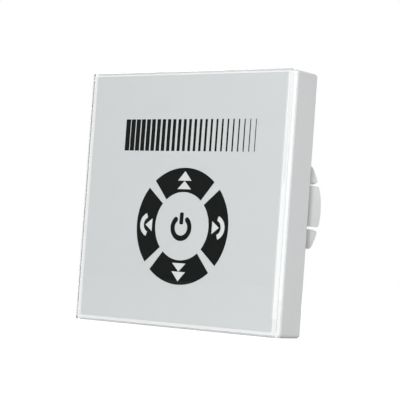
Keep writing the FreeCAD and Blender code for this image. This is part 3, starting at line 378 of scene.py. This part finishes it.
def parallel_to_wall(face):
    """True on a face that lies parallel to the wall."""
    return abs(face.normal.y) > 0.99


def new_copy(piece, name, move):
    """A copy with its own mesh, moved by a matrix."""
    copy = bpy.data.objects.new(name, piece.data.copy())
    scene.collection.objects.link(copy)
    copy.matrix_world = move
    settle(copy)
    return copy


def hollow_out(piece, wall):
    """Leaves a printed patch as an outline of one width."""
    pick(piece, faces=parallel_to_wall)
    bpy.ops.mesh.inset(thickness=wall)
    bpy.ops.mesh.bridge_edge_loops()
    close_edit()
    return piece


def at_joint_top(edge):
    """True on the rim of a joint that stands furthest from the board."""
    return all(corner.co.y < JOINT_FRONT + 0.0001 for corner in edge.verts)


joint = new_rod(
    "leg_joint_1", (pole_across(1), LEG_UP), JOINT_RADIUS, JOINT_FRONT, BOARD_FRONT, sides=24
)
pick(joint, faces=faces_room)
bpy.ops.transform.resize(value=(JOINT_TAPER, 1, JOINT_TAPER))
close_edit()
pick(joint, edges=at_joint_top)
bpy.ops.mesh.bevel(offset=JOINT_ROUND, segments=3, affect="EDGES")
close_edit()
joints = [joint]
for pole in range(2, POLES + 1):
    step = Matrix.Translation((pole_across(pole) - pole_across(1), 0, 0))
    joints.append(new_copy(joint, f"leg_joint_{pole}", step))
leg_joints = join_pieces("leg_joints", joints)
smooth(leg_joints)
solder = new_metal("solder", (0.70, 0.70, 0.69), (0.62, 0.62, 0.61), 0.26, clouds=300)
dress(leg_joints, solder)
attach(leg_joints, "rear_unit")

print_front = BOARD_FRONT - PRINT_THICK
marks = []
for name, (left, bottom), (right, top) in MARKS:
    patch = new_block(name, (left, print_front, bottom), (right, BOARD_FRONT, top))
    marks.append(hollow_out(patch, MARK_WIDE))
for name, across in (("left_can_mark", -CAN_ACROSS), ("right_can_mark", CAN_ACROSS)):
    patch = new_rod(name, (across, CAN_UP), CAN_MARK_RADIUS, print_front, BOARD_FRONT)
    marks.append(hollow_out(patch, MARK_WIDE))
board_print = join_pieces("board_print", marks)
dress(board_print, number_white)
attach(board_print, "rear_unit")


# Capacitors. Aluminium cans in black sleeves with a pale stripe down the negative side. The rim of
# each sleeve is shrunk over the edge of the can.
RIM_WIDE = 0.0004
RIM_STEP_WIDE = 0.0001
RIM_STEP_DEEP = 0.0002
BARE_RADIUS = 0.003
STRIPE_TURN = 0.93


def paint(piece, finish, wanted):
    """Gives another finish to the faces that pass a test."""
    piece.data.materials.append(finish)
    place = len(piece.data.materials) - 1
    for face in piece.data.polygons:
        if wanted(face):
            face.material_index = place


def on_bare_can(face):
    """True on the end of a can that the sleeve leaves open."""
    from_middle = math.hypot(abs(face.center.x) - CAN_ACROSS, face.center.z - CAN_UP)
    return faces_room(face) and from_middle < BARE_RADIUS


def on_stripe(face):
    """True on the side of a sleeve that is turned away from the middle of the board."""
    outwards = math.copysign(face.normal.x, face.center.x * face.normal.x)
    return abs(face.normal.y) < 0.1 and outwards > STRIPE_TURN


sleeve_black = new_finish("sleeve_black", (0.02, 0.02, 0.024), (0.03, 0.03, 0.035), 0.3)
cans = fitted_copy(
    "capacitors", "smoothing_cans", "rear_unit", sleeve_black, edge=0.0004
)
pick(cans, faces=faces_room)
bpy.ops.mesh.inset(thickness=RIM_WIDE)
bpy.ops.mesh.inset(thickness=RIM_STEP_WIDE, depth=-RIM_STEP_DEEP)
close_edit()
smooth(cans)
bare_can = new_metal("bare_can", (0.72, 0.73, 0.74), (0.64, 0.65, 0.66), 0.32)
stripe_pale = new_finish("stripe_pale", (0.55, 0.56, 0.58), (0.5, 0.51, 0.53), 0.35)
paint(cans, bare_can, on_bare_can)
paint(cans, stripe_pale, on_stripe)


# Choke. A coil wound on a round core inside a square ferrite shield with cut corners. It is glued
# to the power board on its feet.
CORE_UP = -0.012
CORE_RADIUS = 0.0026
CORE_FRONT = 0.00715
CORE_BACK = 0.0074
CORE_RIM_WIDE = 0.0004
CORE_RIM_DEEP = 0.0001

ferrite_grey = new_finish("ferrite_grey", (0.05, 0.05, 0.052), (0.035, 0.035, 0.037), 0.5)
fitted_copy("choke", "shielded_choke", "rear_unit", ferrite_grey, edge=0.0002)
core = new_rod("choke_core", (0, CORE_UP), CORE_RADIUS, CORE_FRONT, CORE_BACK)
pick(core, faces=faces_room)
bpy.ops.mesh.inset(thickness=CORE_RIM_WIDE, depth=-CORE_RIM_DEEP)
close_edit()
smooth(core)
dress(core, ferrite_grey)
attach(core, "rear_unit")


# Power transistors. Two flat packages in black epoxy, which switch the current to the lights. Each
# is soldered to the power board by its tab and two leads.
TAB_LOW = 0.00365
LEAD_HIGH = -0.00305

chip_black = new_finish("chip_black", (0.022, 0.022, 0.024), (0.016, 0.016, 0.018), 0.48)
transistors = fitted_copy(
    "power_transistors", "flat_transistors", "rear_unit", chip_black, edge=0.00008
)
paint(transistors, tinned, lambda face: not LEAD_HIGH <= face.center.z <= TAB_LOW)


# Chips. The dimming chip and the supply chip, in black epoxy packages whose bent, tinned leads are
# soldered to the power board.
CHIPS_UP = 0.013
DIMMER_CHIP_HALF = 0.00197
SUPPLY_CHIP_HALF = 0.00177

dimmer_chip = fitted_copy(
    "dimmer_chip", "dimming_chip", "rear_unit", chip_black, edge=0.00006
)
paint(dimmer_chip, tinned, lambda face: abs(face.center.z - CHIPS_UP) > DIMMER_CHIP_HALF)
supply_chip = fitted_copy(
    "supply_chip", "five_volt_chip", "rear_unit", chip_black, edge=0.00006
)
paint(supply_chip, tinned, lambda face: abs(face.center.z - CHIPS_UP) > SUPPLY_CHIP_HALF)


# Fuse. A square ceramic body with a tinned cap pressed over each end. The caps are soldered to the
# power board.
CERAMIC_HALF = 0.00205

fuse_white = new_finish("fuse_white", (0.72, 0.71, 0.67), (0.66, 0.65, 0.61), 0.35)
fuse = fitted_copy("fuse", "square_fuse", "rear_unit", fuse_white)
paint(fuse, tinned, lambda face: abs(face.center.x) > CERAMIC_HALF)


# Link. A black socket on the power board takes the gold pins of the touch board, which stand in a
# strip of the same plastic.
link_black = new_finish("link_black", (0.022, 0.022, 0.024), (0.03, 0.03, 0.032), 0.42)
gold = new_metal(
    "gold_flash", (0.83, 0.63, 0.3), (0.76, 0.56, 0.25), 0.22, clouds=300, bump=0.01
)
fitted_copy("link_socket", "pin_socket", "rear_unit", link_black)
fitted_copy("pin_strip", "pin_carrier", "front_unit", link_black)
fitted_copy("link_pins", "gold_pins", "front_unit", gold, edge=0.00008)


# Inner cover. A disc with cooling vents, moulded in white plastic. Two screws hold it over the
# mouth of the cup.
cover_white = new_finish(
    "cover_white", (0.74, 0.75, 0.75), (0.71, 0.72, 0.72), 0.45, bump=0.006
)
fitted_copy(
    "inner_cover", "cup_cover", "rear_unit", cover_white, edge=0.00015
)
fitted_copy(
    "cover_screws", "cup_cover_screws", "rear_unit", plated_steel, edge=0.00012
)


# Frame. A deep square frame in white polycarbonate with a rounded lip. It carries the touch board
# and the glass, and snaps over the tongues of the rear housing.
frame_white = new_finish(
    "frame_white", (0.655, 0.665, 0.67), (0.64, 0.65, 0.655), 0.24, spread=0.02, bump=0.003
)
fitted_copy(
    "front_frame", "frame_moulding", "front_unit", frame_white, edge=0.00012
)


# Touch board. A square board seated in the frame, with copper keys on its face and a lamp behind
# each light hole. Tracks under the lacquer of its back join the link pins and lamps to the chip.
TOUCH_BACK = -0.0096
LENS_BACK = TOUCH_BACK - 0.00003
LAMP_REACH = 0.010475
LAMP_BODY_HALF = 0.00142
TOUCH_CHIP_UP = -0.028
TOUCH_CHIP_HALF = 0.00197
TRACK_WIDE = 0.0003
# Each pin's track: how far from the middle the pin, the lane down the board and the lead lie.
PIN_TRACKS = (
    (0.00127, 0.0026, 0.00127),
    (0.00381, 0.0034, 0.00254),
    (0.00635, 0.0042, 0.00381),
)
PIN_TRACK_UP = (0.0112, 0.0088, 0.0068, -0.0228, -0.0238, -0.0251)
LAMP_TRACK = (
    (0.0088, -0.00905), (0.0056, -0.00905), (0.0056, -0.0315),
    (0.0050, -0.0321), (0.00381, -0.0321), (0.00381, -0.0309),
)

fitted_copy("touch_board", "square_board", "front_unit", board_green, edge=0.00006)
copper = new_metal(
    "key_copper", (0.75, 0.55, 0.35), (0.66, 0.46, 0.29), 0.35, clouds=100, grain=3000, bump=0.01
)
fitted_copy("touch_electrodes", "copper_keys", "front_unit", copper, edge=0.00002)
lamp_body = new_finish("lamp_body", (0.75, 0.74, 0.68), (0.68, 0.67, 0.6), 0.4)
lamps = fitted_copy(
    "indicator_lamps", "key_lamps", "front_unit", lamp_body, edge=0.00006
)
lens_amber = new_finish("lens_amber", (0.80, 0.62, 0.20), (0.76, 0.56, 0.16), 0.2)
paint(lamps, lens_amber, lambda face: face.center.y < LENS_BACK)


def on_lamp_lead(face):
    """True behind the board, past the ends of each lamp's body."""
    nearest = min(abs(face.center.x - middle) for middle in (-LAMP_REACH, 0, LAMP_REACH))
    return face.center.y > TOUCH_BACK and nearest > LAMP_BODY_HALF


paint(lamps, tinned, on_lamp_lead)
touch_chip = fitted_copy(
    "touch_chip", "sensing_chip", "front_unit", chip_black, edge=0.00006
)
paint(touch_chip, tinned, lambda face: abs(face.center.z - TOUCH_CHIP_UP) > TOUCH_CHIP_HALF)


def unite(piece, other):
    """Melts one shape into another, so that no wall is left between them."""
    take_up(piece)
    bpy.ops.object.modifier_add(type="BOOLEAN")
    melt = piece.modifiers[-1]
    melt.operation = "UNION"
    melt.object = other
    bpy.ops.object.modifier_apply(modifier=melt.name)
    bpy.data.objects.remove(other)


def new_track(name, path):
    """A raised line on the back of the touch board, through a row of points."""
    half = TRACK_WIDE / 2
    front, back = TOUCH_BACK - PRINT_THICK, TOUCH_BACK + PRINT_THICK
    track = None
    for (left, low), (right, high) in zip(path, path[1:]):
        length = math.hypot(right - left, high - low)
        bar = new_block(name, (-half, front, -half), (half, back, length + half))
        turn = Matrix.Rotation(math.atan2(right - left, high - low), 4, "Y")
        bar.matrix_world = Matrix.Translation((left, 0, low)) @ turn
        settle(bar)
        if track:
            unite(track, bar)
        else:
            track = bar
    return track


tracks = []
for side in (-1, 1):
    for pin, lane, lead in PIN_TRACKS:
        corners = zip((pin, pin, lane, lane, lead, lead), PIN_TRACK_UP)
        tracks.append(new_track("pin_track", [(side * across, up) for across, up in corners]))
    tracks.append(new_track("lamp_track", [(side * across, up) for across, up in LAMP_TRACK]))
touch_tracks = join_pieces("touch_tracks", tracks)
track_green = new_finish("track_green", (0.05, 0.26, 0.10), (0.04, 0.22, 0.08), 0.28, bump=0.01)
dress(touch_tracks, track_green)
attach(touch_tracks, "front_unit")


# Mounting tape. A thin white double-sided tape that holds the film and the glass on the frame. It
# # reaches past the film, so its white edge shows under the bevel of the glass. That edge,
# brighter
# # than the film, is partly the tape's own white and partly a painted highlight for the lit glass
# edge.
TAPE_FRONT = -0.01145
FRAME_FRONT = -0.0113
TAPE_LEFT = -0.04262
TAPE_RIGHT = 0.04275
TAPE_BOTTOM = -0.0423
TAPE_TOP = 0.0424


def along_depth(edge):
    """True on an edge that runs straight from front to back."""
    step = edge.verts[0].co - edge.verts[1].co
    return abs(step.y) > 0.999 * step.length


def new_sheet(name, low, high, corner):
    """A sheet parallel to the wall, with rounded corners."""
    sheet = new_block(name, low, high)
    pick(sheet, edges=along_depth)
    bpy.ops.mesh.bevel(offset=corner, segments=6, affect="EDGES")
    close_edit()
    return sheet


def under_glass(finish):
    """Takes the gloss off a surface that is wetted out on the back of the glass."""
    finish.node_tree.nodes["Principled BSDF"].inputs["Specular IOR Level"].default_value = 0.0


tape = new_sheet(
    "tape_sheet", (TAPE_LEFT, TAPE_FRONT, TAPE_BOTTOM), (TAPE_RIGHT, FRAME_FRONT, TAPE_TOP),
    corner=0.0006,
)
# Brighter than the film: the tape's own white, and also a painted highlight along the edge of the
# glass.
tape_white_edge_highlight = new_finish("tape_white_edge_highlight", (0.82, 0.83, 0.83), (0.79, 0.80, 0.80), 0.6)
under_glass(tape_white_edge_highlight)
dress(tape, tape_white_edge_highlight)
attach(tape, "front_unit")
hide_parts("mounting_tape")


# Printed film. A pale polyester film bonded behind the glass. Black ink on its face draws a row of
# bars and a ring of four keys round a power sign, and white ink draws the arrows on the keys.
FILM_FRONT = -0.0116
FILM_LEFT = -0.0416
FILM_RIGHT = 0.0403
FILM_BOTTOM = -0.0412
FILM_TOP = 0.0419
BLACK_FRONT = -0.01163
WHITE_FRONT = -0.01165
PRINT_MIDDLE = 0.00083
RING_UP = -0.009
RING_OUTER = 0.01960
RING_INNER = 0.01143
KEY_SWEEP = 80
BARS = 25
BAR_LEFT = -0.02686
BAR_PITCH = 0.002313
BAR_LOW = 0.0162
BAR_HIGH = 0.0270
BAR_WIDEST = 0.002
BAR_TAPER = 0.0017
ARC_FACET = 4
ARC_LEAST_FACETS = 6
ARC_START_THICK = 0.00001

film = new_sheet(
    "film_sheet", (FILM_LEFT, FILM_FRONT, FILM_BOTTOM), (FILM_RIGHT, TAPE_FRONT, FILM_TOP),
    corner=0.0004,
)
film_pale = new_finish("film_pale", (0.615, 0.635, 0.635), (0.60, 0.62, 0.623), 0.5)
under_glass(film_pale)
dress(film, film_pale)
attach(film, "front_unit")
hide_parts("printed_film")


def ink_arc(name, middle, inner, outer, start, sweep, front):
    """A flat arc of ink. Angles run clockwise from the top, as seen from the room."""
    across, up = middle
    patch = new_block(name, (-ARC_START_THICK, front, inner), (0, FILM_FRONT, outer))
    pick(patch, faces=lambda face: face.normal.x < 0.99)
    bpy.ops.mesh.delete(type="FACE")
    bpy.ops.mesh.select_all(action="SELECT")
    steps = max(ARC_LEAST_FACETS, round(sweep / ARC_FACET))
    bpy.ops.mesh.spin(steps=steps, angle=-math.radians(sweep), center=(0, 0, 0), axis=(0, 1, 0))
    bpy.ops.mesh.select_all(action="SELECT")
    bpy.ops.mesh.normals_make_consistent(inside=False)
    close_edit()
    turn = Matrix.Rotation(math.radians(start), 4, "Y")
    patch.matrix_world = Matrix.Translation((across, 0, up)) @ turn
    settle(patch)
    return patch


def ink_triangle(name, up, base, height):
    """A triangle of white ink over the middle of the print, that points up from its base."""
    left, right = PRINT_MIDDLE - base / 2, PRINT_MIDDLE + base / 2
    patch = new_block(name, (left, WHITE_FRONT, up), (right, FILM_FRONT, up + height))
    pick(patch, faces=lambda face: face.normal.z > 0.99)
    bpy.ops.transform.resize(value=(0.001, 1, 1))
    bpy.ops.mesh.select_all(action="SELECT")
    bpy.ops.mesh.remove_doubles(threshold=0.00001)
    close_edit()
    return patch


def turned_copy(piece, name, angle):
    """A copy turned clockwise about the middle of the ring."""
    middle = Matrix.Translation((PRINT_MIDDLE, 0, RING_UP))
    turn = Matrix.Rotation(math.radians(angle), 4, "Y")
    return new_copy(piece, name, middle @ turn @ middle.inverted())


ring_middle = (PRINT_MIDDLE, RING_UP)
black_ink = []
for bar in range(BARS):
    left = BAR_LEFT + bar * BAR_PITCH
    right = left + (BAR_WIDEST - bar * BAR_TAPER / (BARS - 1))
    black_ink.append(
        new_block(f"level_bar_{bar}", (left, BLACK_FRONT, BAR_LOW), (right, FILM_FRONT, BAR_HIGH))
    )
key = ink_arc(
    "key_top", ring_middle, RING_INNER, RING_OUTER, -KEY_SWEEP / 2, KEY_SWEEP, BLACK_FRONT
)
black_ink.append(key)
for quarter in (90, 180, 270):
    black_ink.append(turned_copy(key, f"key_{quarter}", quarter))

POWER_MIDDLE = PRINT_MIDDLE - 0.00022
POWER_UP = RING_UP - 0.0005
POWER_OUTER = 0.00448
POWER_INNER = 0.00268
POWER_OPEN = 42
STROKE_HALF = 0.0008
STROKE_LOW = RING_UP + 0.0006
STROKE_HIGH = RING_UP + 0.0046
STROKE_ROUND = 0.00045
loop = ink_arc(
    "power_loop", (POWER_MIDDLE, POWER_UP), POWER_INNER, POWER_OUTER,
    POWER_OPEN, 360 - 2 * POWER_OPEN, BLACK_FRONT,
)
line_middle = (POWER_INNER + POWER_OUTER) / 2
line_half = (POWER_OUTER - POWER_INNER) / 2
for side in (-1, 1):
    angle = math.radians(side * POWER_OPEN)
    across = POWER_MIDDLE + line_middle * math.sin(angle)
    up = POWER_UP + line_middle * math.cos(angle)
    tip = new_rod("power_tip", (across, up), line_half, BLACK_FRONT, FILM_FRONT, sides=32)
    unite(loop, tip)
black_ink.append(loop)
stroke = new_block(
    "power_stroke", (POWER_MIDDLE - STROKE_HALF, BLACK_FRONT, STROKE_LOW),
    (POWER_MIDDLE + STROKE_HALF, FILM_FRONT, STROKE_HIGH),
)
pick(stroke, edges=along_depth)
bpy.ops.mesh.bevel(offset=STROKE_ROUND, segments=6, affect="EDGES")
close_edit()
black_ink.append(stroke)
print_black = join_pieces("black_print", black_ink)
ink_black = new_finish("ink_black", (0.002, 0.004, 0.003), (0.003, 0.005, 0.004), 0.5)
under_glass(ink_black)
dress(print_black, ink_black)

# The two triangles that stand one above the other on the upper and lower key, each by its base and
# height, and the single one on a side key, with the arc that opens towards the middle.
LEVEL_TIPS = ((0.0124, 0.0028), (0.01525, 0.0032))
LEVEL_TIP_WIDE = 0.0058
SIDE_TIP_BASE = 0.01285
SIDE_TIP_WIDE = 0.0043
SIDE_TIP_TALL = 0.0029
SIDE_ARC_UP = 0.014
SIDE_ARC_INNER = 0.0025
SIDE_ARC_OUTER = 0.0041
SIDE_ARC_SWEEP = 140
white_ink = []
for index, (base, height) in enumerate(LEVEL_TIPS):
    tip_up = ink_triangle(f"brighter_{index}", RING_UP + base, LEVEL_TIP_WIDE, height)
    white_ink += [tip_up, turned_copy(tip_up, f"dimmer_{index}", 180)]
side_tip = ink_triangle("side_tip", RING_UP + SIDE_TIP_BASE, SIDE_TIP_WIDE, SIDE_TIP_TALL)
side_arc = ink_arc(
    "side_arc", (PRINT_MIDDLE, RING_UP + SIDE_ARC_UP), SIDE_ARC_INNER, SIDE_ARC_OUTER,
    -SIDE_ARC_SWEEP / 2, SIDE_ARC_SWEEP, WHITE_FRONT,
)
for quarter in (90, 270):
    for sign in (side_tip, side_arc):
        white_ink.append(turned_copy(sign, f"{sign.name}_{quarter}", quarter))
bpy.data.objects.remove(side_tip)
bpy.data.objects.remove(side_arc)
print_white = join_pieces("white_print", white_ink)
ink_white = new_finish("ink_white", (0.68, 0.70, 0.69), (0.66, 0.68, 0.67), 0.5)
under_glass(ink_white)
dress(print_white, ink_white)
for ink in (print_black, print_white):
    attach(ink, "front_unit")


# Glass panel. A toughened glass plate, 2.5 mm thick, ground and polished to a shallow bevel round
# its face. It is stuck to the frame over the printed film, and it is what a finger touches.
PANEL_HALF = 0.043
PANEL_CORNER = 0.0008
GLASS_FRONT = -0.0141
GLASS_REAR = -0.01144
BEVEL_WIDE = 0.0019
BEVEL_DEEP = 0.0004

glass = new_block(
    "glass_plate",
    (-PANEL_HALF, GLASS_FRONT + BEVEL_DEEP, -PANEL_HALF),
    (PANEL_HALF, GLASS_REAR, PANEL_HALF),
)
pick(glass, faces=faces_room)
bpy.ops.mesh.inset(thickness=BEVEL_WIDE, depth=BEVEL_DEEP)
close_edit()
pick(glass, edges=along_depth)
bpy.ops.mesh.bevel(offset=PANEL_CORNER, segments=5, affect="EDGES")
close_edit()
smooth(glass, angle=8)
clear_glass = bpy.data.materials.new("clear_glass")
clear_glass.use_nodes = True
nodes, links = clear_glass.node_tree.nodes, clear_glass.node_tree.links
shader = nodes["Principled BSDF"]
shader.inputs["Base Color"].default_value = (0.99, 1.0, 0.997, 1)
shader.inputs["Roughness"].default_value = 0.0
shader.inputs["Transmission Weight"].default_value = 1.0
shader.inputs["IOR"].default_value = 1.5
# Lamp light and soft light go straight through to the print, which lies in the glass.
rays = nodes.new("ShaderNodeLightPath")
lit_through = nodes.new("ShaderNodeMath")
lit_through.operation = "MAXIMUM"
links.new(rays.outputs["Is Shadow Ray"], lit_through.inputs[0])
links.new(rays.outputs["Is Diffuse Ray"], lit_through.inputs[1])
solid = nodes.new("ShaderNodeMath")
solid.operation = "SUBTRACT"
solid.inputs[0].default_value = 1.0
links.new(lit_through.outputs[0], solid.inputs[1])
links.new(solid.outputs[0], shader.inputs["Alpha"])
dress(glass, clear_glass)
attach(glass, "front_unit")
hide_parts("glass_panel")


# Stage. A plain pale floor under the object and soft light from all round, with a main lamp beside
# the camera, one lamp behind and one above, and two narrow lamps that the polished edges of the
# glass mirror.
FLOOR_UP = -0.0432
FLOOR_NEAR = 0.1
FLOOR_FAR = 0.6
FLOOR_NEAR_WHITE = 0.75
FLOOR_GREY = 0.4
STUDIO_FRONT = 0.24
STUDIO_BACK = 0.30
LAMP_DISTANCE = 1.5
OBJECT_MIDDLE = (0, 0, 0)

deselect_all()
bpy.ops.mesh.primitive_plane_add(size=8, location=(0, 0, FLOOR_UP))
floor = bpy.context.object
floor.name = "floor"
settle(floor)


def seen_directly(nodes, links):
    """1 where the eye meets the surface, straight or by way of gloss or glass."""
    rays = nodes.new("ShaderNodeLightPath")
    result = rays.outputs["Is Camera Ray"]
    for kind in ("Is Glossy Ray", "Is Transmission Ray"):
        either = nodes.new("ShaderNodeMath")
        either.operation = "MAXIMUM"
        links.new(result, either.inputs[0])
        links.new(rays.outputs[kind], either.inputs[1])
        result = either.outputs[0]
    return result


def new_blend(nodes, links, factor, first, second):
    """A mix of two greys, or of a grey and a socket."""
    blend = nodes.new("ShaderNodeMix")
    blend.data_type = "RGBA"
    for socket, value in ((blend.inputs[MIX_FIRST], first), (blend.inputs[MIX_SECOND], second)):
        if isinstance(value, float):
            socket.default_value = (value, value, value, 1)
        else:
            links.new(value, socket)
    links.new(factor, blend.inputs["Factor"])
    return blend.outputs[MIX_RESULT]


def behind_object(nodes, links, direction):
    """0 on the room side of the studio, 1 behind the object."""
    split = nodes.new("ShaderNodeSeparateXYZ")
    links.new(direction, split.inputs[0])
    side = nodes.new("ShaderNodeMapRange")
    side.interpolation_type = "SMOOTHSTEP"
    side.inputs["From Min"].default_value = -0.5
    side.inputs["From Max"].default_value = 0.5
    links.new(split.outputs["Y"], side.inputs["Value"])
    return side.outputs["Result"]


def backdrop_tone(nodes, links, behind):
    """White to the eye and where it is mirrored behind the object, dim on the room's side."""
    rays = nodes.new("ShaderNodeLightPath")
    mirrored = new_blend(nodes, links, behind, STUDIO_FRONT, 1.0)
    return new_blend(nodes, links, rays.outputs["Is Camera Ray"], mirrored, 1.0)


floor_white = bpy.data.materials.new("floor_white")
floor_white.use_nodes = True
nodes, links = floor_white.node_tree.nodes, floor_white.node_tree.links
shader = nodes["Principled BSDF"]
shader.inputs["Roughness"].default_value = 0.9
shader.inputs["Specular IOR Level"].default_value = 0.0
shader.inputs["Emission Strength"].default_value = 1.0
place = nodes.new("ShaderNodeTexCoord")
outwards = nodes.new("ShaderNodeVectorMath")
outwards.operation = "NORMALIZE"
links.new(place.outputs["Object"], outwards.inputs[0])
distance = nodes.new("ShaderNodeVectorMath")
distance.operation = "LENGTH"
links.new(place.outputs["Object"], distance.inputs[0])
far = nodes.new("ShaderNodeMapRange")
far.interpolation_type = "SMOOTHSTEP"
far.inputs["From Min"].default_value = FLOOR_NEAR
far.inputs["From Max"].default_value = FLOOR_FAR
far.inputs["To Min"].default_value = FLOOR_NEAR_WHITE
links.new(distance.outputs["Value"], far.inputs["Value"])
near = nodes.new("ShaderNodeMath")
near.operation = "SUBTRACT"
near.inputs[0].default_value = 1.0 + FLOOR_GREY
near.use_clamp = True
links.new(far.outputs["Result"], near.inputs[1])
seen = seen_directly(nodes, links)
tone = backdrop_tone(nodes, links, behind_object(nodes, links, outwards.outputs[0]))
glow = new_blend(nodes, links, far.outputs["Result"], 0.0, tone)
links.new(new_blend(nodes, links, seen, 0.0, glow), shader.inputs["Emission Color"])
own_colour = new_blend(nodes, links, seen, FLOOR_GREY, near.outputs[0])
links.new(own_colour, shader.inputs["Base Color"])
dress(floor, floor_white)

world = bpy.data.worlds.new("studio")
scene.world = world
world.use_nodes = True
nodes, links = world.node_tree.nodes, world.node_tree.links
place = nodes.new("ShaderNodeTexCoord")
behind = behind_object(nodes, links, place.outputs["Generated"])
room = new_blend(nodes, links, behind, STUDIO_FRONT, STUDIO_BACK)
tone = backdrop_tone(nodes, links, behind)
seen = seen_directly(nodes, links)
links.new(new_blend(nodes, links, seen, room, tone), nodes["Background"].inputs["Color"])


def hang_lamp(name, place, aim, size, power):
    """A soft box at a place, turned to a point; size is its width and height."""
    bpy.ops.object.light_add(type="AREA", location=place)
    lamp = bpy.context.object
    lamp.name = name
    lamp.data.shape = "RECTANGLE"
    lamp.data.size, lamp.data.size_y = size
    lamp.data.energy = power
    lamp.rotation_mode = "QUATERNION"
    lamp.rotation_quaternion = (Vector(place) - Vector(aim)).to_track_quat("Z", "Y")


def studio_place(across, height):
    """A place by its angle to the right of straight in front and by its height angle."""
    across, height = math.radians(across), math.radians(height)
    flat = LAMP_DISTANCE * math.cos(height)
    return (flat * math.sin(across), -flat * math.cos(across), LAMP_DISTANCE * math.sin(height))


hang_lamp("main_lamp", studio_place(34.4, 5), OBJECT_MIDDLE, (0.09, 0.09), 21.0)
hang_lamp("back_lamp", studio_place(-130, 18), OBJECT_MIDDLE, (0.6, 0.6), 7.0)
hang_lamp("bevel_lamp", (-0.07, -0.502, 0.025), (0.042, -0.014, 0), (0.10, 0.26), 0.15)
hang_lamp("top_lamp", (0, 0.02, LAMP_DISTANCE), OBJECT_MIDDLE, (0.6, 0.6), 4.5)
hang_lamp("edge_lamp", (0.782, 0.931, 0.055), (0.043, -0.013, 0), (0.12, 0.36), 0.15)


# Camera. A long lens at the photograph's viewing angle, right of the object and a little below its
# middle. Its place and turn are fitted to the edges of the glass in the photograph.
CAMERA_PLACE = (0.335734, -0.425495, -0.025485)
CAMERA_RIGHT = (0.78320893, 0.61756984, 0.0720505)
CAMERA_UP = (-0.02658667, -0.08251107, 0.99623545)
CAMERA_BACK = (0.62118994, -0.78217608, -0.04820429)

bpy.ops.object.camera_add()
camera = bpy.context.object
camera.name = "camera"
camera.data.lens = 143.293
camera.data.sensor_width = 36
camera.data.clip_start = 0.01
camera.data.clip_end = 20
turn = Matrix((CAMERA_RIGHT, CAMERA_UP, CAMERA_BACK)).transposed().to_4x4()
camera.matrix_world = Matrix.Translation(CAMERA_PLACE) @ turn
scene.camera = camera
